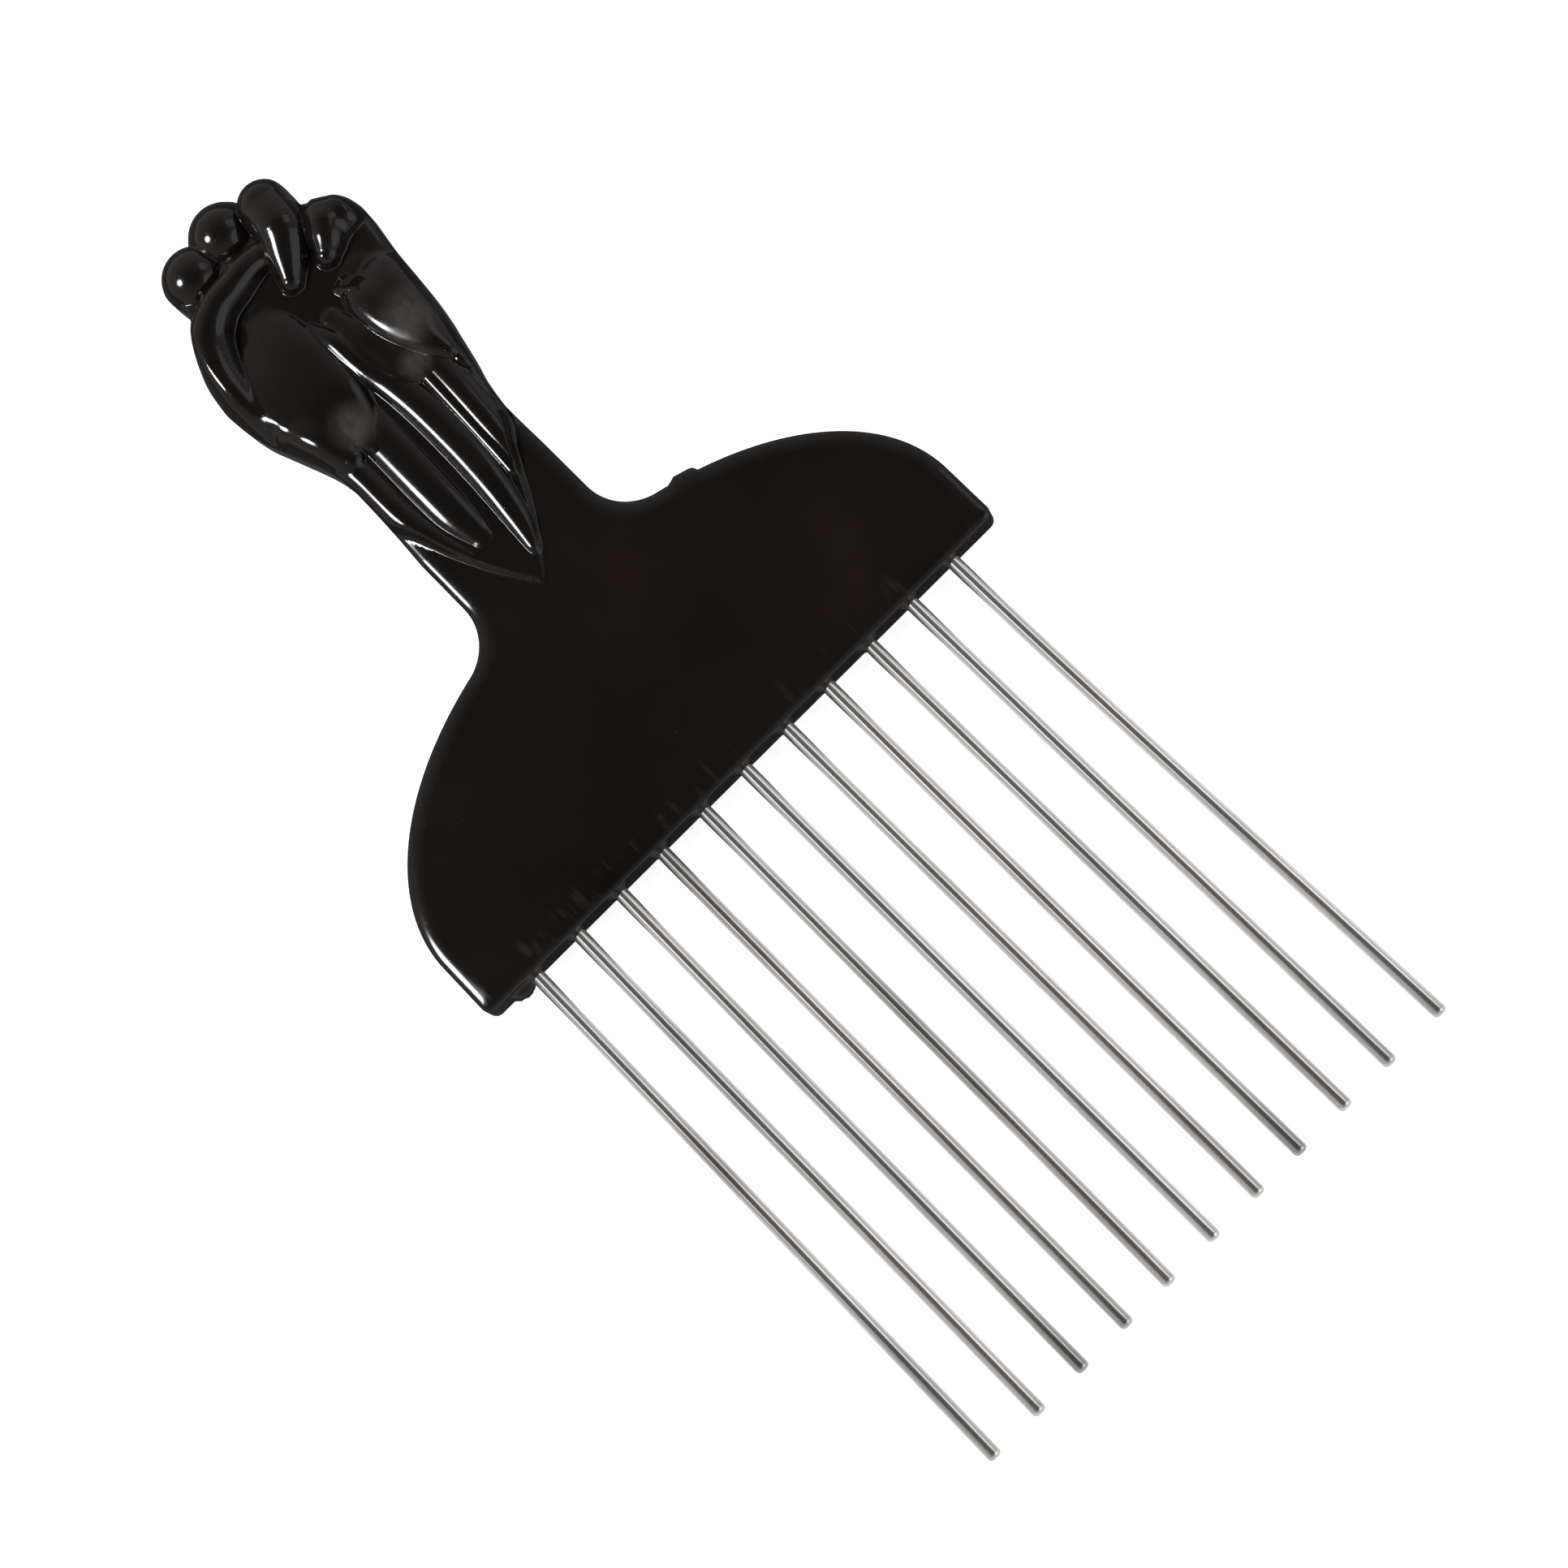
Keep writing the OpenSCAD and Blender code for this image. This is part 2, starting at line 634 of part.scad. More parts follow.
lower_edge_faces = [
    for (k = [0:head_inner - 1])
        each patch(head_at(0, k), head_at(0, k + 1),
            head_at(0, head_columns - 2 - k), head_at(0, head_columns - 1 - k))
];

wall_faces = [
    for (m = [0:loop - 1])
        each patch(outline_at(m), back_at(m, 0), back_at(m + 1, 0), outline_at(m + 1))
];

back_rim_faces = [
    for (m = [0:loop - 1], k = [0:back_count - 2])
        each patch(back_at(m, k), back_at(m, k + 1), back_at(m + 1, k + 1), back_at(m + 1, k))
];

back_faces = let (k = back_count - 1, centre = len(shell_points) - 1) concat(
    [for (m = [0:fan_row - 1]) each patch(
        back_at(m, k), back_at(loop - 1 - m, k), back_at(loop - 2 - m, k), back_at(m + 1, k))],
    [for (m = [fan_row:loop - 2 - fan_row]) [centre, back_at(m + 1, k), back_at(m, k)]],
    [[centre, back_at(fan_row, k), back_at(loop - 1 - fan_row, k)]]
);

// Modules, one for each kind of piece.

function tine_x(i) = (i - (tine_count + 1) / 2) * tine_pitch;

module at_tine(i) {
    translate([tine_x(i), head_edge_y, plate_thickness / 2]) rotate([-90, 0, 0]) children();
}

module handle_shell() {
    translate([0, head_edge_y, 0])
        polyhedron(
            points = shell_points,
            faces = concat(head_faces, join_faces, relief_faces, lower_edge_faces,
                wall_faces, back_rim_faces, back_faces),
            convexity = 8
        );
}

module handle() {
    color(plastic)
        difference() {
            handle_shell();
            for (i = [1:tine_count])
                at_tine(i)
                    translate([0, 0, -overrun])
                        cylinder(d = tine_diameter, h = socket_depth + overrun, $fn = 48);
        }
}

// Half section of a wire with a rounded tip, along its own axis from tip to inner end.
function tine_profile() =
    let (radius = tine_diameter / 2, rounding = min(tip_rounding, radius))
    concat(
        [[0, 0]],
        [for (turn = [0:15:90])
            [radius - rounding * (1 - sin(turn)), rounding * (1 - cos(turn))]],
        [[radius, tine_reach + socket_depth], [0, tine_reach + socket_depth]]
    );

module tine(i) {
    color(steel)
        at_tine(i)
            translate([0, 0, -tine_reach])
                rotate_extrude($fn = 48) polygon(tine_profile());
}

handle();
for (i = [1:tine_count])
    tine(i);
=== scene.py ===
"""Looks of the afro pick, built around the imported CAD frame.

The handle is carved again in fine mesh from the same forms as the solid, a few of them
fitted closer to the photograph, with the marks of moulding that the solid leaves out. The
tines are drawn wire. Lengths in the carving are millimetres, with Y measured from the head's
lower edge, and Blender gets metres.
"""
from math import atan2, radians, tan

import bpy
import numpy as np
from mathutils import Matrix, Vector


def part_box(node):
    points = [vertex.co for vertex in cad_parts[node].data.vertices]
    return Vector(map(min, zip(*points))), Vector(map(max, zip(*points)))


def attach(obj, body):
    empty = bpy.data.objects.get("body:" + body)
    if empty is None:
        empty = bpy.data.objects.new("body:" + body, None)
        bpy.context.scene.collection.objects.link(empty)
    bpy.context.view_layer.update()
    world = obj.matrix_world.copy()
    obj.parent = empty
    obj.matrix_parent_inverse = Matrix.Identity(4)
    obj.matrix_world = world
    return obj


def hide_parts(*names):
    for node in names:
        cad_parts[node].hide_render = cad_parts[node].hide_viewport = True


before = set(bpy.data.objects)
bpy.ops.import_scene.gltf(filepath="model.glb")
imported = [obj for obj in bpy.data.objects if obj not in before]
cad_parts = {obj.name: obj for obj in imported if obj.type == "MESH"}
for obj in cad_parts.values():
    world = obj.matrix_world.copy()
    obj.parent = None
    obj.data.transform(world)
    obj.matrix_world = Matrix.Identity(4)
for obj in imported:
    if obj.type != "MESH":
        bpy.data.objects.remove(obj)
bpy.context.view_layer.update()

MM = 0.001
SEED = 11

# Driving sizes, read from the frame.
handle_low, handle_high = (np.array(corner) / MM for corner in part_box("handle"))
tine_names = sorted(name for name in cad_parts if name.startswith("tine_"))
HEAD_HALF = (handle_high[0] - handle_low[0]) / 2
HANDLE_LENGTH = handle_high[1] - handle_low[1]
EDGE_Y = handle_low[1]
TIPS_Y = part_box(tine_names[0])[0][1] / MM
FIST_DEPTH = handle_high[2]

# Sizes of the handle's outline and section.
SIDE_HEIGHT = 8
DOME_RISE = 25.3
PLATE = 5
RIM_WIDTH = 2.4
RIM_ROUNDING = 0.8
CORNER_ROUNDING = 1.1
INNER_CORNER = 0.4
NECK_WIDTH = 20.9
NECK_FILLET = 7
RELIEF_START = 32.6
RELIEF_STEP = 1
LEFT_RELIEF_STEP = 1.2
HAND_WIDTH = 29.7
HAND_ROUNDING = 2.8
BACK_ROUNDING = 2
FINGER_BLEND = 0.3
TENDON_BLEND = 0.08
PALM_BLEND = 0.5
FLANK_STEEPNESS = 4
BEND_LATENESS = 8

NECK_HALF = NECK_WIDTH / 2
OVERHANG = (HAND_WIDTH - NECK_WIDTH) / 2
ARM_LENGTH = HANDLE_LENGTH - RELIEF_START
RELIEF_DEPTH = FIST_DEPTH - PLATE
WALL_START = PLATE - RIM_ROUNDING

# Where the shoulder may meet the neck's fillet, in degrees, and how often that range is
# halved to find the place.
MEETING_RANGE = (30, 89)
HALVINGS = 40

# Fineness of the mesh.
SPLINE_STEPS = 6
RIM_STEPS = 9
BACK_STEPS = 6
WALL_STEPS = 14
INNER_COLUMNS = 150
CORNER_ROWS = 8
SIDE_ROWS = 22
DOME_ROWS = 90
FILLET_ROWS = 30
ARM_ROWS = 90
HAND_ROWS = 230
ROW_CROWDING = 1.35
COLUMN_CROWDING = 0.6
CROWD_END = 5
CROWD_FADE = 22

# Places on the arm, from 0 at the forearm's point to 1 at the top knuckle.
CUFF_TOP, WRIST, TENDON_TOP = 0.38, 0.41, 0.7
PALM_START, PALM_TOP, FINGER_START, HAND_TOP = 0.3, 0.95, 0.65, 0.91

# Sides of the hand: [place, how far it stands out past the neck].
left_side_shares = [
    [0.2, 0], [0.29, -0.09], [0.35, -0.12], [0.39, -0.12], [0.425, -0.06], [0.45, 0.03],
    [0.48, 0.19], [0.51, 0.36], [0.54, 0.53], [0.57, 0.7], [0.6, 0.81], [0.63, 0.88],
    [0.66, 0.93], [0.69, 0.89], [0.725, 0.79], [0.755, 0.62], [0.785, 0.4], [0.815, 0.12],
    [0.83, -0.03], [0.845, -0.17], [0.86, -0.24], [0.875, -0.22], [0.89, -0.17],
    [0.91, -0.14],
]
right_side_shares = [
    [0.2, 0], [0.29, -0.02], [0.33, 0.01], [0.38, 0.13], [0.42, 0.3], [0.47, 0.48],
    [0.51, 0.62], [0.56, 0.74], [0.62, 0.83], [0.68, 0.91], [0.72, 1], [0.76, 1.09],
    [0.785, 1.05], [0.8, 0.98], [0.815, 0.84], [0.83, 0.58], [0.845, 0.16], [0.857, -0.06],
    [0.87, -0.07], [0.885, -0.05], [0.91, -0.04],
]

# Edges of the forearm on the neck: [place, share of the neck's width].
left_cuff_shares = [
    [0, -0.06], [0.01, -0.09], [0.06, -0.19], [0.1, -0.26], [0.15, -0.33], [0.19, -0.38],
    [0.24, -0.43], [0.27, -0.48], [0.3, -0.53], [0.41, -0.65],
]
right_cuff_shares = [
    [0, -0.06], [0.045, 0.05], [0.09, 0.145], [0.14, 0.24], [0.185, 0.31], [0.23, 0.38],
    [0.27, 0.455], [0.29, 0.49], [0.33, 0.55], [0.41, 0.67],
]

# Ground under the forms, height of the side walls, and roundings of the two edges.
ground_shares = [
    [0, 0.04], [0.1, 0.08], [0.2, 0.13], [0.33, 0.18], [0.44, 0.22], [0.56, 0.3],
    [0.7, 0.34], [0.82, 0.38], [0.885, 0.26], [0.93, 0.1], [1.02, 0],
]
wall_shares = [
    [0, 0], [0.23, 0], [0.27, 0.06], [0.31, 0.18], [0.44, 0.24], [0.56, 0.26], [0.7, 0.3],
    [0.8, 0.34], [0.86, 0.3], [0.91, 0.14], [1.02, 0.08],
]
edge_shares = [[0.44, 0.85], [0.53, 1], [0.65, 1], [0.77, 0.6], [0.86, 0.45], [1.02, 0.45]]
back_edge_shares = [[0, 0], [0.3, 0], [0.42, 0.4], [0.55, 1], [1.02, 1]]

# Forms of the relief. Each is a soft ridge along a line of points: [x, place, half width,
# height, drop of its flanks], in shares of the neck's or hand's width and the relief's depth.
tendon_shares = [
    [
        [-0.42, 0.5, 0.12, 0.34, 0.2], [-0.415, 0.38, 0.12, 0.31, 0.2],
        [-0.405, 0.29, 0.11, 0.28, 0.17], [-0.35, 0.21, 0.08, 0.2, 0.12],
        [-0.27, 0.14, 0.05, 0.13, 0.08],
    ],
    [
        [-0.14, 0.5, 0.14, 0.37, 0.28], [-0.145, 0.38, 0.14, 0.35, 0.28],
        [-0.15, 0.28, 0.135, 0.32, 0.27], [-0.15, 0.215, 0.12, 0.27, 0.22],
        [-0.135, 0.15, 0.08, 0.16, 0.12],
    ],
    [
        [0.015, 0.665, 0.035, 0.4, 0.12], [0.05, 0.61, 0.075, 0.52, 0.23],
        [0.075, 0.54, 0.09, 0.45, 0.23], [0.12, 0.48, 0.105, 0.39, 0.23],
        [0.15, 0.4, 0.115, 0.37, 0.23], [0.15, 0.29, 0.115, 0.34, 0.23],
        [0.125, 0.2, 0.1, 0.3, 0.2], [0.09, 0.13, 0.08, 0.23, 0.16],
        [0.05, 0.07, 0.05, 0.15, 0.1],
    ],
    [
        [0.315, 0.46, 0.06, 0.36, 0.13], [0.3, 0.35, 0.055, 0.31, 0.12],
        [0.285, 0.25, 0.05, 0.26, 0.1], [0.27, 0.2, 0.04, 0.2, 0.08],
    ],
    [
        [0.385, 0.5, 0.1, 0.4, 0.24], [0.38, 0.38, 0.1, 0.36, 0.24],
        [0.36, 0.28, 0.09, 0.31, 0.2], [0.33, 0.21, 0.06, 0.23, 0.13],
    ],
]
palm_shares = [
    [
        [-0.14, 0.76, 0.1, 0.38, 0.2], [-0.15, 0.71, 0.145, 0.5, 0.2],
        [-0.155, 0.65, 0.155, 0.58, 0.2], [-0.155, 0.58, 0.155, 0.61, 0.2],
        [-0.155, 0.52, 0.15, 0.6, 0.2], [-0.15, 0.47, 0.115, 0.52, 0.18],
        [-0.15, 0.435, 0.06, 0.42, 0.1], [-0.15, 0.41, 0.015, 0.34, 0.03],
    ],
    [
        [-0.27, 0.74, 0.09, 0.36, 0.13], [-0.285, 0.68, 0.115, 0.48, 0.13],
        [-0.285, 0.62, 0.12, 0.55, 0.13], [-0.27, 0.56, 0.115, 0.57, 0.13],
        [-0.24, 0.51, 0.1, 0.54, 0.13], [-0.21, 0.47, 0.07, 0.46, 0.13],
    ],
    [
        [0.1, 0.65, 0.04, 0.39, 0.08], [0.125, 0.59, 0.06, 0.45, 0.09],
        [0.155, 0.54, 0.075, 0.45, 0.09], [0.18, 0.49, 0.08, 0.44, 0.1],
        [0.21, 0.46, 0.06, 0.4, 0.1], [0.243, 0.44, 0.015, 0.34, 0.04],
    ],
]
heel_shares = [
    [
        [0.32, 0.68, 0.1, 0.36, 0.2], [0.35, 0.635, 0.13, 0.55, 0.2],
        [0.37, 0.59, 0.13, 0.62, 0.2], [0.385, 0.54, 0.12, 0.61, 0.2],
        [0.39, 0.5, 0.1, 0.55, 0.2], [0.395, 0.46, 0.07, 0.45, 0.15],
        [0.39, 0.42, 0.05, 0.37, 0.1],
    ],
    [
        [0.24, 0.67, 0.06, 0.43, 0.22], [0.255, 0.63, 0.083, 0.6, 0.22],
        [0.27, 0.575, 0.088, 0.64, 0.22], [0.295, 0.53, 0.085, 0.63, 0.22],
        [0.33, 0.485, 0.075, 0.58, 0.22], [0.36, 0.45, 0.055, 0.47, 0.17],
    ],
]
heel_crease_shares = [
    [0.195, 0.68, 0.012, 0.42, 0.1], [0.225, 0.665, 0.015, 0.5, 0.1],
    [0.265, 0.645, 0.012, 0.56, 0.1],
]
thumb_base_shares = [
    [-0.34, 0.55, 0.09, 0.5, 0.32], [-0.31, 0.52, 0.108, 0.59, 0.34],
    [-0.28, 0.485, 0.11, 0.6, 0.34], [-0.262, 0.455, 0.1, 0.53, 0.3],
    [-0.25, 0.43, 0.06, 0.43, 0.2],
]
thumb_shares = [
    [-0.4, 0.59, 0.08, 0.46, 0.35], [-0.408, 0.635, 0.09, 0.6, 0.45],
    [-0.405, 0.68, 0.097, 0.74, 0.5], [-0.378, 0.735, 0.1, 0.84, 0.5],
    [-0.315, 0.783, 0.094, 0.91, 0.48], [-0.21, 0.813, 0.082, 0.92, 0.42],
    [-0.1, 0.822, 0.074, 0.88, 0.37], [0, 0.83, 0.068, 0.82, 0.33],
    [0.07, 0.83, 0.064, 0.73, 0.3],
]
middle_finger_shares = [
    [0.23, 0.902, 0.117, 0.88, 0.58], [0.213, 0.84, 0.108, 1, 0.5],
    [0.15, 0.793, 0.09, 0.84, 0.42], [0.09, 0.752, 0.055, 0.66, 0.3],
]
index_knuckle_shares = [
    [0.37, 0.786, 0.13, 0.82, 0.52], [0.43, 0.782, 0.105, 0.76, 0.48],
]
index_finger_shares = [
    [0.355, 0.782, 0.085, 0.86, 0.4], [0.315, 0.758, 0.08, 0.83, 0.4],
    [0.27, 0.738, 0.055, 0.7, 0.3],
]
first_knuckle_shares = [-0.188, 0.91, 0.143, 0.65, 0.64]
top_knuckle_shares = [0.02, 1, 0.155, 0.68, 0.8]
sweep_centre_shares = [0.03, 0.825]

# Marks of moulding: the gate's stub on the right shoulder, drips of plastic where the wires
# leave the edge (their spread is in radii of the wire), a flap of flash at the left corner,
# and swellings over the sockets. Drips and swellings differ in size within the given ranges.
GATE = {"x": 19.3, "half_width": 1.5, "height": 0.65, "softness": 0.35}
DRIP = {"depth": 0.75, "reach": 0.45, "spread": 5}
DRIP_RANGE = ([0.75, 0.35], [1.15, 0.8])
FLASH = {"x": -36.9, "half_width": 1.9, "depth": 1, "z": 1.9, "half_height": 1.7}
SWELLING = {"height": 0.05, "half_width": 0.9, "length": 5}
SWELLING_RANGE = (0.2, 1)

# Wires: rounding of the tip, length in the handle, fineness of the mesh, and how far each
# wire leans and bows sideways, at its tip and at its middle.
TIP_ROUNDING = 0.6
SOCKET_DEPTH = 14
TIP_RINGS = 6
WIRE_RINGS = 60
WIRE_SIDES = 40
tine_bends = [
    (0.1, 0), (0.25, 0.05), (0.2, -0.05), (0.3, 0.05), (0.1, 0.1), (0.3, 0), (0.4, 0.1),
    (0.2, -0.1), (0.4, 0.05), (0.5, 0.1), (1.5, 0.35),
]

# Textures of the materials are (features per metre, detail, stretch), and ramps are rows of
# (value, what it turns into). The fade is for the last part of a distance.
FADE = [(0.3, 1.0), (1, 0.0)]

# Black plastic: smears of gloss, depth of the black, orange peel, dust, and places that are dull
# from handling, where the base colour is also lifted to grey as a painted sheen: [x, y, height,
# radius, roughness and share of painted sheen].
PLASTIC = {"IOR": 1.44, "Specular_IOR_Level": 0.42}
SMEAR = (140, 5, (1, 0.4, 1))
SMEAR_ROUGHNESS = [(0.3, 0.08), (0.7, 0.15)]
MOTTLE = (60, 4)
MOTTLE_SHARE = 0.4
# Greys of the black. Only the painted sheen of the dull places lifts the tone towards the palest
# grey.
BLACKS = [
    (0.12, (0.0045, 0.0035, 0.0028)), (0.28, (0.009, 0.0065, 0.0052)),
    (0.9, (0.045, 0.04, 0.037)),
]
PEEL = (260, 2)
PEEL_DEPTH = 0.000004
DUST = (5200, 1)
DUST_GRAINS = [(0.7, 0.0), (0.78, 1.0)]
DUST_DEPTH = 0.000005
DULL_AND_SHEEN_PLACES = [
    [9.9, 68.6, 8, 5, 0.55], [6.4, 64.2, 7, 3, 0.5], [-4.3, 63.6, 8, 4, 0.55],
]
DULL_AND_SHEEN_CLOUD = (420, 3)
DULL_AND_SHEEN_SHARE = [(0.3, 0.6), (0.6, 1.0)]

# Streaks of flow that run up from the sockets.
STREAK = (900, 5, (1, 0.16, 1))
STREAK_EDGES = [(0.46, 0.0), (0.66, 1.0)]
STREAK_LENGTH = 7
STREAK_ROUGHNESS = 0.34

# Steel: its greys in patches, darker towards the tips, and the fine lines of drawing.
STEEL = {"Metallic": 0.8, "IOR": 2.5}
PATCH = (90, 3, (1, 0.45, 1))
STEELS = [
    (0.25, (0.5, 0.48, 0.45)), (0.42, (0.76, 0.73, 0.69)), (0.56, (0.9, 0.87, 0.83)),
]
TIP_DARKENING_LENGTH = 22
TIP_DARKENING = 0.13
DRAWING = (700, 2, (4, 0.02, 4))
DRAWING_ROUGHNESS = [(0.3, 0.1), (0.7, 0.18)]
DRAWING_DEPTH = 0.0000006

# Camera, mm and degrees: where the photograph was taken from, fitted to the outline.
CAMERA_TARGET = (1.96, -15.8, 2.5)
CAMERA_PLACE = (1.96, -138, 431.4)
CAMERA_TURN = 44.9
SENSOR = 36
FOCAL_LENGTH = 87.3
CLIP_END = 20

# Lamps, metres and degrees. The key is the round soft light whose highlights run down the
# left of every ridge in the photograph. It lights the handle and the floor. The wires would
# be lost in its glare, so they have a weak lamp in the same place. The strip and the fill
# are weak and light everything.
LAMP_DISTANCE = 1.5
KEY_DIRECTION = (-0.617, 0.292, 0.733)
KEY_HALF_ANGLE = 8
KEY_RADIANCE = 46
WIRE_HALF_ANGLE = 9
WIRE_RADIANCE = 1
FILL_DIRECTION = (0.55, -0.65, 0.5)
FILL_HALF_ANGLE = 24
FILL_RADIANCE = 0.8
STRIP_DIRECTION = (0.72, 0.1, 0.69)
STRIP_HALF_ANGLE = 13
STRIP_RADIANCE = 0.7
WORLD_LIGHT = 0.35

# Floor, metres but for the change. It lies just under the pick. Its grey is 0.5, or nearly
# black to a mirror. To the camera it glows with the strength FLOOR_SEEN, and to a mirror it
# starts to glow past the head's edge, over FLOOR_CHANGE millimetres.
FLOOR_RADIUS = 4
FLOOR_GAP = 0.0001
FLOOR_ROUGHNESS = 0.9
FLOOR_GREYS = [(0, 0.5), (1, 0.06)]
FLOOR_SEEN = 0.88
FLOOR_CHANGE = 10
FLOOR_MIRRORED = [(0.2, 0.04), (0.6, 0.75)]

# Tent: radius in metres, angle in radians left open at its foot, fineness, and its glow in
# rows of (share of the height, strength).
TENT_RADIUS = 3.2
TENT_GAP = 0.01
TENT_RINGS = 24
TENT_GREY = (0.01, 0.01, 0.01, 1)
TENT_GLOW = [(0, 0.6), (0.45, 0.46), (0.7, 0.35), (0.84, 0.18), (0.93, 0.03)]

STAGE_SIDES = 96
WHITE = (1, 1, 1, 1)

tine_boxes = [[np.array(corner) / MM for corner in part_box(name)] for name in tine_names]
tine_xs = [(low[0] + high[0]) / 2 for low, high in tine_boxes]
tine_z = (tine_boxes[0][0][2] + tine_boxes[0][1][2]) / 2
tine_radius = (tine_boxes[0][1][2] - tine_boxes[0][0][2]) / 2
pitch = tine_xs[1] - tine_xs[0]
random = np.random.default_rng(SEED)
swelling_sizes = random.uniform(*SWELLING_RANGE, len(tine_xs))
drip_sizes = random.uniform(*DRIP_RANGE, (len(tine_xs), 2))

# Steps from the outline across a rim, crowded where the rim is steep, and columns of the
# head, crowded round the tines.
RIM_SHARES = 1 - np.cos(np.linspace(0, np.pi / 2, RIM_STEPS + 1))
head_inner = HEAD_HALF - RIM_WIDTH - INNER_CORNER
column_turns = np.linspace(-head_inner, head_inner, INNER_COLUMNS + 2)[1:-1] / pitch
head_columns = pitch * (
    column_turns - COLUMN_CROWDING * np.sin(2 * np.pi * column_turns) / (2 * np.pi))


# Helpers for curves and blends

def arm_y(share):
    """Y of a place on the arm, which is a share of the arm's length."""
    return RELIEF_START + ARM_LENGTH * share


def refined(points):
    """Points on a smooth curve through the given ones."""
    p = np.array(points, float)
    before = p[[0, *range(len(p) - 2)]] if len(p) > 2 else p[:1]
    after = p[[*range(2, len(p)), len(p) - 1]] if len(p) > 2 else p[-1:]
    a, b, c, d = before, p[:-1], p[1:], after
    steps = []
    for k in range(SPLINE_STEPS):
        t = k / SPLINE_STEPS
        steps.append((2 * b + (c - a) * t + (2 * a - 5 * b + 4 * c - d) * t ** 2
                      + (3 * b - a - 3 * c + d) * t ** 3) / 2)
    curve = np.stack(steps, 1).reshape(-1, p.shape[1])
    return np.vstack([curve, p[-1:]])


def along_arm(shares, start, depth):
    """A value that changes along the arm, as a function of y."""
    table = refined(shares)
    return lambda y: np.interp(y, arm_y(table[:, 0]), start + depth * table[:, 1])


def ease(t):
    u = np.clip(t, 0, 1)
    return u * u * (3 - 2 * u)


def quarter_round(t):
    return np.sqrt(np.maximum(1 - (1 - t) ** 2, 0))


def soft_max(a, b, blend):
    """The greater of two heights, melting where they differ by less than the blend."""
    h = np.maximum(blend - np.abs(a - b), 0) / blend
    return np.maximum(a, b) + h * h * blend / 4


def bump(t):
    """1 at 0, falling smoothly to 0 at -1 and 1."""
    return 1 - ease(np.abs(t))


# Relief

def form(shares, width):
    """Rows of [x, y, half width, height, drop of the flanks] in millimetres."""
    rows = refined(shares) if len(shares) > 1 else np.array(shares, float)
    return np.column_stack([
        rows[:, 0] * width, arm_y(rows[:, 1]), rows[:, 2] * width,
        PLATE + RELIEF_DEPTH * rows[:, 3], RELIEF_DEPTH * rows[:, 4],
    ])


tendons = [form(shares, NECK_WIDTH) for shares in tendon_shares]
palms = [form(shares, HAND_WIDTH) for shares in
         [*palm_shares, *heel_shares, heel_crease_shares, thumb_base_shares, thumb_shares]]
first_knuckle = form([first_knuckle_shares], HAND_WIDTH)
top_knuckle = form([top_knuckle_shares], HAND_WIDTH)
top_knuckle[0, 1] -= top_knuckle[0, 2]
middle_finger = form(middle_finger_shares, HAND_WIDTH)
fingers = [
    first_knuckle, top_knuckle, middle_finger,
    form(index_knuckle_shares, HAND_WIDTH), form(index_finger_shares, HAND_WIDTH),
]

ground_height = along_arm(ground_shares, PLATE, RELIEF_DEPTH)
wall_height = along_arm(wall_shares, WALL_START, RELIEF_DEPTH)
hand_edge = along_arm(edge_shares, 0, HAND_ROUNDING)
back_rounding = along_arm(back_edge_shares, RIM_ROUNDING, BACK_ROUNDING - RIM_ROUNDING)
left_cuff = along_arm(left_cuff_shares, 0, NECK_WIDTH)
right_cuff = along_arm(right_cuff_shares, 0, NECK_WIDTH)


def front_edge(y):
    """Width of the soft edge of the front, from the neck's rim to the hand's."""
    start = arm_y(edge_shares[0][0])
    along = np.clip((y - arm_y(CUFF_TOP)) / (start - arm_y(CUFF_TOP)), 0, 1)
    return np.where(y < start, RIM_WIDTH + (hand_edge(start) - RIM_WIDTH) * along, hand_edge(y))


def form_height(x, y, path):
    """Height of one form over each point."""
    near = np.array(path[0]) * np.ones(x.shape + (1,))
    gap = np.hypot(x - path[0, 0], y - path[0, 1])
    for a, b in zip(path, path[1:]):
        along = b[:2] - a[:2]
        share = np.clip(((x - a[0]) * along[0] + (y - a[1]) * along[1]) / (along @ along), 0, 1)
        off = np.hypot(x - a[0] - share * along[0], y - a[1] - share * along[1])
        closer = off < gap
        gap = np.where(closer, off, gap)
        near = np.where(closer[..., None], a + (b - a) * share[..., None], near)
    reach = gap / near[..., 2]
    dome = 1 - np.sqrt(np.maximum(1 - reach ** 2, 0))
    flank = 1 + FLANK_STEEPNESS * (reach - 1)
    return near[..., 3] - near[..., 4] * np.where(reach < 1, dome, flank)


def highest(x, y, height, paths, blend):
    """The ground's height with several forms melted into it."""
    for path in paths:
        height = soft_max(height, form_height(x, y, path), blend)
    return height


def relief_height(x, y):
    """Height of the front: forearm, then the palm over it, then the fingers over both."""
    ground = ground_height(y)
    arm = np.where(y > arm_y(TENDON_TOP), ground, highest(x, y, ground, tendons, TENDON_BLEND))
    cuff = ease((x - left_cuff(y)) / LEFT_RELIEF_STEP) * ease((right_cuff(y) - x) / RELIEF_STEP)
    cuff = np.where(y > arm_y(CUFF_TOP), 1, cuff)
    lower = PLATE + (arm - PLATE) * cuff
    palm = highest(x, y, lower, palms, PALM_BLEND)
    hand = highest(x, y, np.where(y > arm_y(PALM_TOP), lower, palm), fingers, FINGER_BLEND)
    return np.where(y < arm_y(PALM_START), lower, np.where(y < arm_y(FINGER_START), palm, hand))


# Outline of the head, right half, from the lower corner to the forearm's point

def dome_point(turn):
    return np.array([HEAD_HALF * np.cos(turn), SIDE_HEIGHT + DOME_RISE * np.sin(turn)])


def dome_normal(turn):
    n = np.array([np.cos(turn) / HEAD_HALF, np.sin(turn) / DOME_RISE])
    return n / np.hypot(*n)


